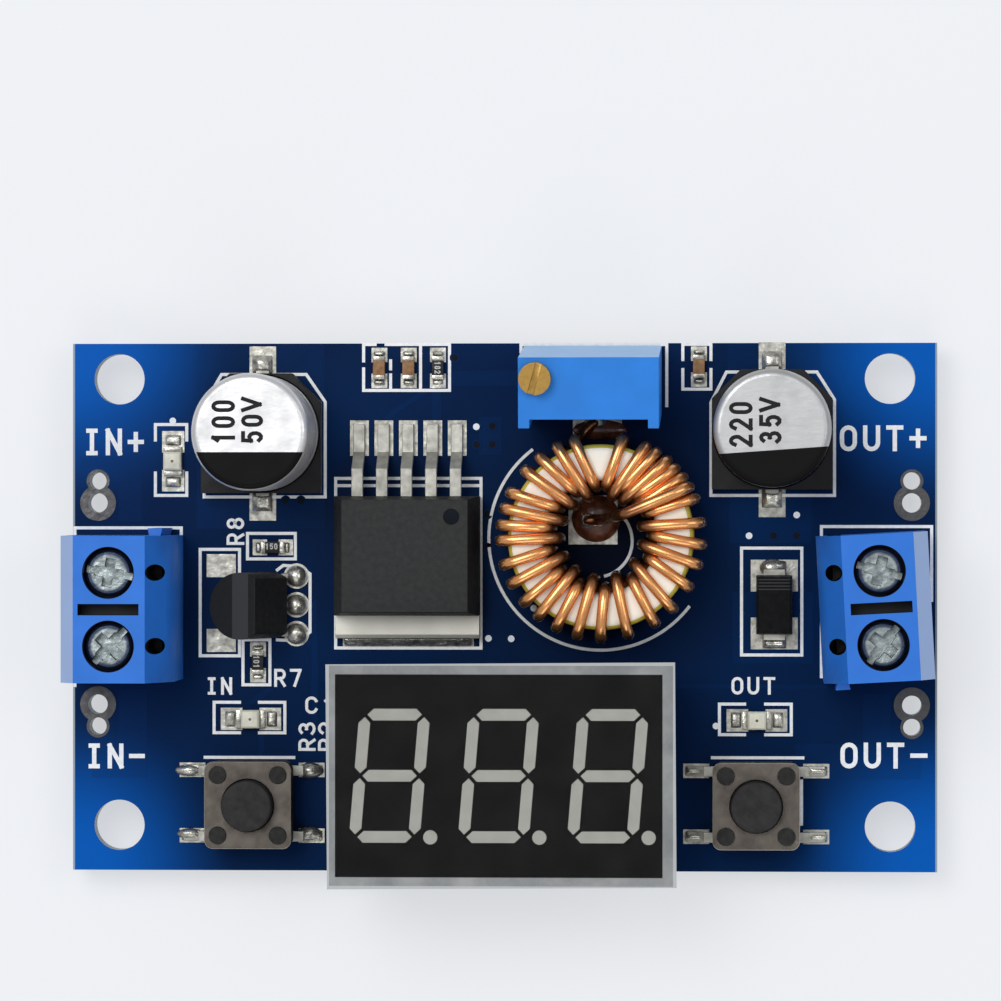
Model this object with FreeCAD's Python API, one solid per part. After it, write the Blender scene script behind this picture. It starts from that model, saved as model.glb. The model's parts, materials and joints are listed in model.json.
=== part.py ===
import FreeCAD, Part
import math
import os

from FreeCAD import Placement, Rotation, Vector

# Step-down converter module with a voltage display. Millimetres, +Z up.
# The origin is the centre of the four mounting holes on the underside of the board.
# +X runs from the input terminal to the output terminal. +Y runs away from the display.

# Fits that several pieces share
running_gap = 0.05
body_gap = 0.1
pad_thickness = 0.05

# Circuit board
board_length = 60.0
board_width = 36.6
board_thickness = 1.6
board_offset_y = -0.33
mount_hole_margin_x = 3.25
mount_hole_margin_y = 2.8
mount_hole_radius = 1.75
wire_hole_margin_x = 1.75
wire_hole_spacing_y = 14.0
wire_hole_radius = 0.675
wire_pad_radius = 1.25
thin_wire_hole_spacing_y = 17.05
thin_wire_hole_radius = 0.6
thin_wire_pad_radius = 0.8
wire_hole_offset_y = -0.1
pin_stand_out = 1.8
pin_hole_gap = 0.15
pin_pad_margin = 0.5
solder_cone_height = 0.9
pad_margin = 0.25

board_left = -board_length / 2
board_right = board_length / 2
board_front = board_offset_y - board_width / 2
board_back = board_offset_y + board_width / 2
mount_hole_spacing_x = board_length - 2 * mount_hole_margin_x
mount_hole_spacing_y = board_width - 2 * mount_hole_margin_y
wire_hole_spacing_x = board_length - 2 * wire_hole_margin_x
pin_end = -board_thickness - pin_stand_out

# Terminal blocks, in a frame with the wire side at -X and z = 0 on the board
terminal_pitch = 5.0
terminal_poles = 2
terminal_depth = 7.5
terminal_height = 10.0
terminal_edge_setback = 0.2
terminal_front_chamfer = 1.0
terminal_front_chamfer_drop = 1.4
terminal_slope_run = 1.6
terminal_slope_drop = 3.4
terminal_front_wall = 1.5
terminal_ledge_thickness = 0.35
clamp_screw_head_radius = 1.6
clamp_screw_head_height = 1.4
clamp_screw_head_sink = 0.45
clamp_screw_radius = 1.2
clamp_screw_recess_depth = 0.7
clamp_screw_slot_width = 0.5
clamp_well_gap = 0.15
cage_length = 3.6
cage_width = 3.8
cage_wall = 0.5
cage_top_thickness = 0.75
cage_floor_thickness = 0.6
cage_floor_lift = 0.3
cage_travel = 2.0
cage_top_slack = 0.35
contact_thickness = 0.7
contact_width = 2.4
contact_leg_thickness = 0.8
contact_pin_width = 0.9
terminal_slot_length = 4.16
terminal_slot_width = 0.77
terminal_slot_depth = 2.0
probe_hole_radius = 0.55
probe_hole_offset = 0.37
tongue_place_x = 2.48
tongue_width = 0.78
tongue_reach = 0.5
output_terminal_turn = 183.0
output_terminal_shift_x = -0.45
output_terminal_shift_y = 0.14
screw_slot_angles = {"input_back": -10.0, "input_front": 47.0, "output_back": -15.0, "output_front": 52.0}

# Converter chip in a flat power package with five leads and a soldered tab
chip_place = (-6.62, 3.25)
chip_width = 10.0
chip_length = 8.25
chip_height = 4.4
chip_side_draft = 0.65
chip_end_draft = 0.25
chip_tab_thickness = 1.27
chip_tab_reach = 1.6
chip_tab_overlap = 6.0
chip_lead_count = 5
chip_lead_pitch = 1.7
chip_lead_width = 0.8
chip_lead_thickness = 0.5
chip_lead_height = 2.4
chip_lead_shoulder = 1.9
chip_lead_foot = 1.95
chip_lead_reach = 5.0

# Coil: a ring core wound with one enamelled wire
coil_place = (6.9, 4.57)
core_outer_radius = 6.35
core_inner_radius = 3.85
core_height = 4.83
core_edge_radius = 0.6
wire_radius = 0.35
wire_lay_gap = 0.05
wire_outer_slack = 0.2
wire_inner_layer_step = 0.6
wire_bend_radius = 0.8
crossing_strand_lift = 0.65
wire_tolerance = 1e-5
wire_seam_way = Vector(0.31, 0.17, 1.0)
coil_pad_size = 3.4

# Direction of each turn's outer and inner end seen from the ring's centre, in degrees
turn_ends = [
    (105.5, 95.6), (115.8, 107.0), (127.4, 118.0), (138.7, 131.0), (153.9, 145.0),
    (163.5, 157.0), (173.1, 169.0), (182.0, 181.0), (196.0, 194.0), (207.7, 207.0),
    (220.3, 220.0), (231.8, 232.0), (243.9, 245.0), (256.5, 260.0), (269.8, 275.0),
    (285.7, 291.0), (302.1, 307.0), (315.2, 322.0), (330.5, 337.0), (344.1, 350.0),
    (355.7, 362.0), (368.2, 375.0), (382.3, 388.0), (396.1, 401.0), (402.7, 410.0),
    (409.1, 419.0), (416.9, 427.0), (423.8, 435.0), (437.2, 444.0),
]
last_strand_angle = 389.6

# Aluminium can capacitors on moulded bases
input_capacitor_place = (-16.75, 11.72)
output_capacitor_place = (18.6, 11.97)
capacitor_can_radius = 4.0
capacitor_can_top = 10.4
capacitor_can_edge = 0.5
capacitor_can_bottom = 1.1
capacitor_groove_height = 2.6
capacitor_groove_depth = 0.35
capacitor_base_width = 8.3
capacitor_base_thickness = 1.0
capacitor_base_corner_height = 1.9
capacitor_base_chamfer = 2.0
capacitor_foot_width = 0.9
capacitor_foot_thickness = 0.25
capacitor_foot_reach = 0.8
capacitor_foot_inset = 2.6
capacitor_pad_width = 1.85

# Multi-turn trimmer, standing with a slight lean towards the coil
trimmer_place = (6.2, 15.4)
trimmer_lean = 6.0
trimmer_length = 9.53
trimmer_depth = 4.83
trimmer_height = 10.03
trimmer_rail_width = 0.76
trimmer_recess_depth = 0.6
trimmer_wall = 0.6
trimmer_top_wall = 1.0
trimmer_base_height = 1.0
trimmer_screw_inset_x = 1.15
trimmer_screw_inset_y = 1.4
trimmer_screw_head_radius = 1.1
trimmer_screw_head_height = 0.9
trimmer_screw_neck_radius = 0.7
trimmer_worm_radius = 0.75
trimmer_slot_width = 0.44
trimmer_slot_depth = 0.45
trimmer_slot_angle = 75.0
trimmer_wheel_radius = 3.0
trimmer_wheel_thickness = 1.0
trimmer_wheel_teeth = 28
trimmer_tooth_depth = 0.25
trimmer_pivot_radius = 0.6
trimmer_element_thickness = 0.6
trimmer_pin_radius = 0.25
trimmer_pin_pitch = 2.54

# Three-digit display
display_place_x = 0.08
display_length = 22.3
display_width = 13.85
display_height = 7.2
display_lift = 2.0
display_front_setback = 0.12
display_wall = 0.8
display_board_thickness = 1.0
display_film_thickness = 0.1
display_film_overhang = 0.7
display_film_shift_x = 0.15
display_film_turn = 0.4
display_place = (display_place_x, board_front + display_front_setback + display_width / 2)
digit_count = 3
digit_pitch = 7.4
digit_height = 9.08
digit_width = 4.82
digit_slant = 4.8
segment_thickness = 0.79
segment_gap = 0.17
point_radius = 0.48
point_offset = (2.76, -4.17)
display_pin_count = 6
display_pin_pitch = 2.54
display_pin_row_spacing = 10.16
display_pin_radius = 0.25

# Push buttons
button_spacing = 35.0
button_row_y = -13.93
switch_width = 6.0
switch_base_height = 3.2
switch_cover_thickness = 0.3
switch_cover_corner = 0.6
switch_well_radius = 2.2
switch_floor = 1.2
button_radius = 1.75
button_flange_radius = 2.05
button_flange_thickness = 0.8
button_top = 4.7
button_nub_radius = 0.6
button_travel = 0.25
dome_rest_height = 0.2
dome_radius = 1.9
dome_thickness = 0.1
rivet_offset = 2.08
rivet_radius = 0.6
rivet_stand = 0.15
switch_lead_offset = 2.28
switch_lead_width = 0.7
switch_lead_thickness = 0.25
switch_lead_span = 9.5
switch_lead_drop = 3.4
switch_pad_length = 1.8
switch_pad_inset = 0.6
switch_pad_margin = 0.15

# Catch diode
diode_place = (18.75, -0.13)
diode_width = 2.5
diode_length = 4.1
diode_height = 2.2
diode_lift = 0.15
diode_lead_width = 1.5
diode_lead_thickness = 0.2
diode_lead_reach = 0.4
diode_lead_foot = 1.2

# Small three-lead regulator, leaning outwards on bent leads
small_regulator_hole = (-14.4, -0.18)
small_regulator_lean = 24.0
small_regulator_radius = 2.3
small_regulator_depth = 3.6
small_regulator_height = 4.6
small_regulator_face_foot = (-0.52, 1.5)
small_regulator_lead_pitch = 1.27
small_regulator_hole_pitch = 2.0
small_regulator_lead_radius = 0.23
small_regulator_lead_inset = 1.5

# The unused place of a two-pad part, partly under the leaning regulator
spare_part_place = (-19.65, -0.06)
spare_pad_pitch = 5.2
spare_pad_width = 2.03
spare_pad_length = 1.6

# Chip parts: places are centre x, centre y and the turn of the long side from +X
chip_resistor_size = (1.6, 0.8, 0.45)
chip_capacitor_size = (1.6, 0.8, 0.8)
chip_end_length = 0.3
led_size = (2.0, 1.25, 0.35)
led_lens_length = 1.25
led_lens_height = 0.45
led_end_length = 0.35
chip_pad_overlap = 0.4
chip_pad_reach = 0.6
led_pad_reach = 1.1
chip_pad_margin = 0.15
chip_resistor_places = [
    (-16.05, 3.81, 0.0), (-17.08, -4.18, 90.0), (-4.56, 16.27, 90.0),
    (-8.4, -14.6, 90.0), (-8.4, -12.2, 90.0), (-6.4, -14.6, 90.0),
    (5.6, -14.4, 90.0), (7.2, -14.4, 90.0), (8.8, -14.4, 90.0),
]
chip_capacitor_places = [(-8.63, 16.27, 90.0), (-6.59, 16.27, 90.0), (13.54, 16.34, 90.0), (-8.4, -9.4, 90.0)]
led_places = {
    "power_led": (-23.0, 9.8, 90.0),
    "input_led": (-17.58, -8.11, 0.0),
    "output_led": (17.55, -8.15, 0.0),
}

# Meter controller chip under the display
controller_offset_x = 0.12
controller_offset_y = -0.015
controller_place = (display_place[0] + controller_offset_x, display_place[1] + controller_offset_y)
controller_length = 6.5
controller_width = 4.4
controller_height = 1.0
controller_lift = 0.1
controller_lead_count = 10
controller_lead_pitch = 0.65
controller_lead_width = 0.25
controller_lead_thickness = 0.15
controller_lead_reach = 1.0

# What the components ask of the board is gathered here while they are built
drilled_holes = []
copper_pads = []
solder_joints = []
nodes = {}


def block(x0, x1, y0, y1, z0, z1):
    return Part.makeBox(x1 - x0, y1 - y0, z1 - z0, Vector(x0, y0, z0))


def rod(x, y, z0, z1, radius):
    return Part.makeCylinder(radius, z1 - z0, Vector(x, y, z0))


def prism(corners, along):
    wire = Part.makePolygon(corners + [corners[0]])
    return Part.Face(wire).extrude(along)


def prism_x(corners, x0, x1):
    return prism([Vector(x0, y, z) for y, z in corners], Vector(x1 - x0, 0, 0))


def prism_y(corners, y0, y1):
    return prism([Vector(x, y0, z) for x, z in corners], Vector(0, y1 - y0, 0))


def prism_z(corners, z0, z1):
    return prism([Vector(x, y, z0) for x, y in corners], Vector(0, 0, z1 - z0))


def turned(corners, x=0.0, y=0.0):
    wire = Part.makePolygon([Vector(r, 0, z) for r, z in corners + [corners[0]]])
    solid = Part.Face(wire).revolve(Vector(0, 0, 0), Vector(0, 0, 1), 360)
    solid.translate(Vector(x, y, 0))
    return solid


def rectangle(half_x, half_y, z):
    corners = [(-half_x, -half_y), (half_x, -half_y), (half_x, half_y), (-half_x, half_y), (-half_x, -half_y)]
    return Part.makePolygon([Vector(x, y, z) for x, y in corners])


def fused(shapes):
    shapes = list(shapes)
    if len(shapes) == 1:
        return shapes[0]
    return shapes[0].multiFuse(shapes[1:]).removeSplitter()


def without(shape, tools):
    tools = list(tools)
    if not tools:
        return shape
    return shape.cut(tools).removeSplitter()


def moved(shape, x, y, z=0.0, turn=0.0):
    copy = shape.copy()
    copy.Placement = Placement(Vector(x, y, z), Rotation(Vector(0, 0, 1), turn)).multiply(copy.Placement)
    return copy


def on_board(shape, place, turn=0.0):
    return moved(shape, place[0], place[1], board_thickness, turn)


def spot(place, x, y, turn=0.0):
    """The board position of a point given in a component's own frame."""
    point = Rotation(Vector(0, 0, 1), turn).multVec(Vector(x, y, 0))
    return place[0] + point.x, place[1] + point.y


def round_edges(shape, radius, chosen):
    edges = [edge for edge in shape.Edges if chosen(edge)]
    return shape.makeFillet(radius, edges) if edges else shape


def is_upright(edge):
    ends = edge.BoundBox
    return ends.ZLength > 1e-6 and ends.XLength < 1e-6 and ends.YLength < 1e-6


def lies_at(edge, z):
    ends = edge.BoundBox
    return abs(ends.ZMin - z) < 1e-6 and abs(ends.ZMax - z) < 1e-6


def add_node(name, solids):
    nodes.setdefault(name, []).extend(solids)


def add_pad(place, x, y, width, length, turn=0.0):
    """A flat copper pad on the top of the board, with its centre at x, y in the component's frame."""
    pad = block(-width / 2, width / 2, -length / 2, length / 2, 0, pad_thickness)
    pad = moved(pad, x, y)
    pad = on_board(pad, place, turn)
    copper_pads.append(pad)


def add_pin_hole(place, x, y, radius, turn=0.0, top_pad=True):
    """A drilled hole with a ring of copper on both faces and a cone of solder below."""
    centre = spot(place, x, y, turn)
    hole_radius = radius + pin_hole_gap
    ring_radius = hole_radius + pin_pad_margin
    drilled_holes.append((centre, hole_radius))
    bottom = rod(centre[0], centre[1], -pad_thickness, 0, ring_radius)
    copper_pads.append(bottom.cut(rod(centre[0], centre[1], -1, 1, hole_radius)))
    if top_pad:
        top = rod(centre[0], centre[1], board_thickness, board_thickness + pad_thickness, ring_radius)
        copper_pads.append(top.cut(rod(centre[0], centre[1], 0, 3, hole_radius)))
    cone = Part.makeCone(radius + 0.1, ring_radius - 0.1, solder_cone_height)
    cone.translate(Vector(centre[0], centre[1], -pad_thickness - solder_cone_height))
    return cone


def rounded_corners(points, radius, steps):
    """The same run of points with each corner turned in a few even steps."""
    run = [points[0]]
    for before, corner, after in zip(points, points[1:], points[2:]):
        way_in = corner.sub(before)
        way_out = after.sub(corner)
        half_turn = way_in.getAngle(way_out) / 2
        reach = min(radius * math.tan(half_turn), 0.45 * min(way_in.Length, way_out.Length))
        way_in.normalize()
        way_out.normalize()
        bend = reach / math.tan(half_turn)
        centre = corner.add(way_out.sub(way_in).normalize() * (bend / math.cos(half_turn)))
        first = corner.sub(way_in * reach).sub(centre)
        axis = way_in.cross(way_out)
        for n in range(steps + 1):
            turn = Rotation(axis, math.degrees(2 * half_turn) * n / steps)
            run.append(centre.add(turn.multVec(first)))
    run.append(points[-1])
    return run


def round_wire(points, wire_r, bend_radius, sides=10, steps=2):
    """A wire bent at each corner and mitred where two short straight runs meet."""
    run = rounded_corners(points, bend_radius, steps)
    way = run[1].sub(run[0]).normalize()
    across = way.cross(wire_seam_way).normalize() * wire_r
    ring = [run[0].add(Rotation(way, 360 * n / sides).multVec(across)) for n in range(sides)]
    faces = [Part.Face(Part.makePolygon(ring + ring[:1]))]
    for n in range(1, len(run)):
        way = run[n].sub(run[n - 1]).normalize()
        onward = run[n + 1].sub(run[n]).normalize() if n + 1 < len(run) else way
        cut = way.add(onward).normalize()
        ahead = [p.add(way * (run[n].sub(p).dot(cut) / way.dot(cut))) for p in ring]
        for k in range(sides):
            m = (k + 1) % sides
            faces.append(Part.Face(Part.makePolygon([ring[k], ring[m], ahead[m], ahead[k], ring[k]])))
        ring = ahead
    faces.append(Part.Face(Part.makePolygon(ring + ring[:1])))
    wire = Part.Solid(Part.makeShell(faces))
    wire.fixTolerance(wire_tolerance)
    if wire.Volume < 0:
        wire.reverse()
    return wire


def solder_wedge(place, x, y, width, length, height, leads, turn=0.0):
    """Solder heaped round a lead end on its pad, with the lead's own room left free."""
    inset = min(width, length) * 0.3
    low = rectangle(width / 2, length / 2, 0)
    high = rectangle(width / 2 - inset, length / 2 - inset, height)
    heap = Part.makeLoft([low, high], True, True)
    heap = on_board(moved(heap, x, y, pad_thickness), place, turn)
    rest = without(heap, leads)
    solder_joints.extend(solid for solid in rest.Solids if solid.Volume > 0.01)


# Terminal blocks
def terminal_housing():
    half = terminal_depth / 2
    length = terminal_pitch * terminal_poles
    side = [
        (-half, 0), (half, 0), (half, terminal_height - terminal_slope_drop),
        (half - terminal_slope_run, terminal_height), (terminal_front_chamfer - half, terminal_height),
        (-half, terminal_height - terminal_front_chamfer_drop)]
    body = prism_y(side, -length / 2, length / 2)
    tongue_top = terminal_height - terminal_slope_drop

    def dovetail(gap):
        flare = tongue_width * 0.15 + gap
        low = tongue_place_x - tongue_width / 2 - gap
        high = tongue_place_x + tongue_width / 2 + gap
        return [(low, 0), (high, 0), (high + flare, tongue_reach + gap), (low - flare, tongue_reach + gap)]

    tongue = prism_z(dovetail(0), 0, tongue_top)
    tongue.translate(Vector(0, length / 2, 0))
    groove = prism_z(dovetail(body_gap), -1, tongue_top + body_gap)
    groove.translate(Vector(0, -length / 2, 0))
    cuts = [groove]
    for pole_y in pole_offsets():
        cuts.extend(pole_rooms(pole_y))
    slot_half = terminal_slot_length / 2
    for y in [terminal_pitch * (n + 1) - length / 2 for n in range(terminal_poles - 1)]:
        cuts.append(block(
            clamp_screw_offset_x - slot_half, clamp_screw_offset_x + slot_half,
            y - terminal_slot_width / 2, y + terminal_slot_width / 2,
            terminal_height - terminal_slot_depth, terminal_height + 1))
    return without(body.fuse(tongue), cuts)


def pole_offsets():
    first = -terminal_pitch * (terminal_poles - 1) / 2
    return [first + terminal_pitch * n for n in range(terminal_poles)]


# Heights and places inside the terminal, from the screw head down to the contact plate
head_top = terminal_height - clamp_screw_head_sink
head_bottom = head_top - clamp_screw_head_height
ledge_bottom = head_bottom - body_gap / 2 - terminal_ledge_thickness
cage_top = ledge_bottom - cage_top_slack - cage_travel
contact_top = cage_top - cage_top_thickness - running_gap
contact_height = contact_top - contact_thickness
cage_front = -terminal_depth / 2 + terminal_front_wall + body_gap
cage_back = cage_front + cage_length
clamp_screw_offset_x = cage_front + cage_length / 2
leg_front = cage_back + 0.5
leg_back = leg_front + contact_leg_thickness


def pole_rooms(y):
    """The cage's room, the leg's room, the screw well, the wire entry and the probe hole of one pole."""
    room_half = cage_width / 2 + body_gap
    leg_half = contact_width / 2 + body_gap
    cage_room = block(
        cage_front - body_gap, cage_back + body_gap, y - room_half, y + room_half, -1, ledge_bottom)
    leg_room = block(
        cage_back, leg_back + body_gap, y - leg_half, y + leg_half, -1, contact_top + body_gap)
    well = rod(clamp_screw_offset_x, y, head_bottom - body_gap / 2, terminal_height + 1,
               clamp_screw_head_radius + clamp_well_gap)
    throat = rod(clamp_screw_offset_x, y, ledge_bottom - 1, terminal_height, clamp_screw_radius + running_gap)
    entry_half = cage_width / 2 - cage_wall
    entry = block(
        -terminal_depth, cage_front, y - entry_half, y + entry_half,
        cage_floor_lift + cage_floor_thickness, contact_height)
    probe_x = (leg_front + leg_back) / 2 + probe_hole_offset
    probe = rod(probe_x, y, contact_height, terminal_height + 1, probe_hole_radius)
    return [cage_room, leg_room, well, throat, entry, probe]


def clamp_cage(y):
    half = cage_width / 2
    floor = cage_floor_lift
    outer = block(cage_front, cage_back, y - half, y + half, floor, cage_top)
    inner = block(
        cage_front - 1, cage_back + 1, y - half + cage_wall, y + half - cage_wall,
        floor + cage_floor_thickness, cage_top - cage_top_thickness)
    thread = rod(clamp_screw_offset_x, y, cage_top - cage_top_thickness - 1, cage_top + 1,
                 clamp_screw_radius + running_gap)
    return without(outer, [inner, thread])


def clamp_contact(y):
    half = contact_width / 2
    plate = block(cage_front, leg_back, y - half, y + half, contact_height, contact_top)
    leg = block(leg_front, leg_back, y - half, y + half, body_gap, contact_top)
    pin = block(
        leg_front, leg_back, y - contact_pin_width / 2, y + contact_pin_width / 2, pin_end, contact_height)
    return fused([plate, leg, pin])


def clamp_screw(y, slot_angle):
    x = clamp_screw_offset_x
    head = rod(x, y, head_bottom, head_top, clamp_screw_head_radius)
    head = head.makeChamfer(0.2, [edge for edge in head.Edges if lies_at(edge, head_top)])
    shank = rod(x, y, contact_top + running_gap, head_bottom, clamp_screw_radius)
    bottom = head_top - clamp_screw_recess_depth
    slot = block(-3, 3, -clamp_screw_slot_width / 2, clamp_screw_slot_width / 2, bottom, head_top + 1)
    cross_half = clamp_screw_head_radius * 0.62
    arm_half = clamp_screw_slot_width * 0.7
    cross = fused([
        block(-cross_half, cross_half, -arm_half, arm_half, bottom, head_top + 1),
        block(-arm_half, arm_half, -cross_half, cross_half, bottom, head_top + 1)])
    recess = moved(slot.fuse(cross), x, y, 0, slot_angle)
    return without(head.fuse(shank), [recess])


def build_terminal(name, place, turn):
    """Screws are named by the side of the board they stand on: back is +Y."""
    add_node(name + "_terminal_housing", [on_board(terminal_housing(), place, turn)])
    turned_round = abs(turn) > 90
    for y in pole_offsets():
        side = "back" if (y > 0) != turned_round else "front"
        slot_angle = screw_slot_angles[name + "_" + side] - turn
        screw = clamp_screw(y, slot_angle)
        contact = on_board(clamp_contact(y), place, turn)
        add_node(name + "_" + side + "_clamp_screw", [on_board(screw, place, turn)])
        add_node(name + "_" + side + "_wire_cage", [on_board(clamp_cage(y), place, turn)])
        add_node(name + "_terminal_contacts", [contact])
        pin_x = (leg_front + leg_back) / 2
        half_diagonal = math.hypot(contact_pin_width, contact_leg_thickness) / 2
        cone = add_pin_hole(place, pin_x, y, half_diagonal, turn, False)
        solder_joints.append(cone.cut(contact))


# Converter chip
def build_chip():
    half_width = chip_width / 2
    half_length = chip_length / 2
    seat = pad_thickness
    top_half_width = half_width - chip_side_draft
    top_half_length = half_length - chip_end_draft
    lead_level = chip_lead_height
    skirt = block(-half_width, half_width, -half_length, half_length, seat, lead_level)
    crown = Part.makeLoft([
        rectangle(half_width, half_length, lead_level),
        rectangle(top_half_width, top_half_length, chip_height)], True, True)
    tab_end = -half_length - chip_tab_reach
    tab = block(
        -half_width + 0.3, half_width - 0.3, -half_length, -half_length + chip_tab_overlap,
        seat, seat + chip_tab_thickness)
    ear = block(-half_width, half_width, tab_end, -half_length, seat, seat + chip_tab_thickness)
    ear = ear.makeChamfer(0.25, [
        edge for edge in ear.Edges
        if lies_at(edge, seat + chip_tab_thickness) and abs(edge.CenterOfMass.y - tab_end) < 1e-6])

    def lead_profile():
        inner = half_length - 0.8
        knee = half_length + chip_lead_shoulder
        foot_end = half_length + chip_lead_reach
        foot_start = foot_end - chip_lead_foot
        t = chip_lead_thickness
        return [
            (inner, lead_level), (knee, lead_level), (foot_start, seat + t), (foot_end, seat + t),
            (foot_end, seat), (foot_start - 0.2, seat), (knee - 0.2, lead_level - t), (inner, lead_level - t)]

    leads = []
    for n in range(chip_lead_count):
        x = (n - (chip_lead_count - 1) / 2) * chip_lead_pitch
        lead = prism_x(lead_profile(), x - chip_lead_width / 2, x + chip_lead_width / 2)
        leads.append(on_board(lead, chip_place))
        foot_y = half_length + chip_lead_reach - chip_lead_foot / 2
        add_pad(chip_place, x, foot_y, chip_lead_width + 2 * pad_margin, chip_lead_foot + 2 * pad_margin)
        solder_wedge(chip_place, x, foot_y, chip_lead_width + pad_margin, chip_lead_foot + pad_margin,
                     chip_lead_thickness * 0.6, [leads[-1]])
    tab_solid = on_board(fused([tab, ear]), chip_place)
    body = without(on_board(skirt.fuse(crown), chip_place), [tab_solid] + leads)
    add_node("chip_body", [body])
    add_node("chip_tab", [tab_solid])
    add_node("chip_leads", leads)
    pad_low = tab_end - 0.75
    pad_high = -half_length + chip_tab_overlap
    add_pad(chip_place, 0, (pad_low + pad_high) / 2, chip_width - 0.9, pad_high - pad_low)
    lip = on_board(prism_x([
        (tab_end - 0.7, pad_thickness), (tab_end, pad_thickness), (tab_end, chip_tab_thickness * 0.7)],
        -chip_width / 2 + 0.5, chip_width / 2 - 0.5), chip_place)
    solder_joints.append(lip)


# Coil
crossing_level = pad_thickness + wire_radius
lower_level = crossing_level + 2 * wire_radius + 0.02
core_bottom = lower_level + wire_radius + wire_lay_gap
core_top = core_bottom + core_height
upper_level = core_top + wire_lay_gap + wire_radius
outer_leg_radius = core_outer_radius + wire_radius + wire_outer_slack + wire_lay_gap
inner_leg_radius = core_inner_radius - wire_radius - wire_lay_gap


def around(radius, angle, z):
    return Vector(radius * math.cos(math.radians(angle)), radius * math.sin(math.radians(angle)), z)


def winding_points():
    """The wire from its start on the back pad, round every turn, to its end on the middle pad."""
    first_angle = turn_ends[0][0]
    start = around(outer_leg_radius + 1.1, first_angle - 12, crossing_level)
    points = [start, around(outer_leg_radius, first_angle, crossing_level)]
    for n, (outer_angle, inner_angle) in enumerate(turn_ends):
        inner = inner_leg_radius - (wire_inner_layer_step if n % 2 else 0)
        if n:
            points.append(around(outer_leg_radius, outer_angle, lower_level))
        points.append(around(outer_leg_radius, outer_angle, upper_level))
        points.append(around(inner, inner_angle, upper_level))
        last_turn = n == len(turn_ends) - 1
        points.append(around(inner, inner_angle, crossing_level if last_turn else lower_level))
    raised = upper_level + crossing_strand_lift
    points.append(around(outer_leg_radius, last_strand_angle, crossing_level))
    points.append(around(outer_leg_radius, last_strand_angle, raised))
    points.append(Vector(core_inner_radius * 0.4, core_inner_radius * 0.4, raised))
    points.append(Vector(-0.1, core_inner_radius * 0.3, crossing_level))
    points.append(Vector(-1.3, core_inner_radius * 0.3, crossing_level))
    return points


def build_coil():
    core = turned([
        (core_inner_radius, core_bottom), (core_outer_radius, core_bottom),
        (core_outer_radius, core_top), (core_inner_radius, core_top)])
    core = core.makeFillet(core_edge_radius, [
        edge for edge in core.Edges if lies_at(edge, core_bottom) or lies_at(edge, core_top)])
    winding = round_wire(winding_points(), wire_radius, wire_bend_radius)
    add_node("coil_core", [on_board(core, coil_place)])
    add_node("coil_winding", [on_board(winding, coil_place)])
    points = winding_points()
    half = coil_pad_size / 2
    middle_x = -0.7
    middle_y = core_inner_radius * 0.3
    add_pad(coil_place, middle_x, middle_y, coil_pad_size, coil_pad_size)
    start = points[0]
    add_pad(coil_place, start.x + 0.1, start.y - 0.2, coil_pad_size, coil_pad_size * 0.6)
    wire_here = nodes["coil_winding"][0]
    solder_wedge(coil_place, middle_x, middle_y, half + 0.6, half, wire_radius * 1.6, [wire_here])
    solder_wedge(coil_place, start.x, start.y - 0.1, half, half * 0.8, wire_radius * 1.6, [wire_here])


# Capacitors
def build_capacitor(name, place):
    r = capacitor_can_radius
    groove = capacitor_groove_height
    dip = r - capacitor_groove_depth
    half = capacitor_base_width / 2
    corner = capacitor_base_chamfer
    can = turned([
        (0, capacitor_can_bottom), (r - 0.3, capacitor_can_bottom), (r, capacitor_can_bottom + 0.3),
        (r, groove - 0.5), (dip, groove), (r, groove + 0.5),
        (r, capacitor_can_top), (0, capacitor_can_top)])
    can = can.makeFillet(capacitor_can_edge, [edge for edge in can.Edges if lies_at(edge, capacitor_can_top)])
    base_bottom = pad_thickness + capacitor_foot_thickness
    outline = [(-half, -half), (half, -half), (half, half - corner), (half - corner, half),
               (corner - half, half), (-half, half - corner)]
    base = prism_z(outline, base_bottom, capacitor_base_corner_height)
    base = without(base, [
        rod(0, 0, capacitor_can_bottom, capacitor_base_corner_height + 1, r + body_gap),
        block(-half, half, -half, half, capacitor_base_thickness + 3, capacitor_base_thickness + 4)])
    feet = []
    for side in (-1, 1):
        inner = side * capacitor_foot_inset / 2
        outer = side * (half + capacitor_foot_reach)
        low, high = min(inner, outer), max(inner, outer)
        half_foot = capacitor_foot_width / 2
        foot = block(-half_foot, half_foot, low, high, pad_thickness, base_bottom)
        post = rod(0, inner + side * 0.3, base_bottom, capacitor_can_bottom, 0.3)
        feet.append(on_board(foot.fuse(post), place))
        pad_inner = side * (half - 1.6)
        pad_outer = outer + side * 1.1
        pad_low, pad_high = min(pad_inner, pad_outer), max(pad_inner, pad_outer)
        add_pad(place, 0, (pad_low + pad_high) / 2, capacitor_pad_width, pad_high - pad_low)
        solder_y = side * (half + capacitor_foot_reach * 0.6 + 0.1)
        solder_wedge(place, 0, solder_y, capacitor_pad_width - 0.2, capacitor_foot_reach + 0.8,
                     capacitor_foot_thickness * 1.5, [feet[-1], on_board(base, place)])
    base = without(on_board(base, place), feet)
    add_node(name + "_can", [on_board(can, place)])
    add_node(name + "_base", [base])
    add_node(name + "_leads", feet)


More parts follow.
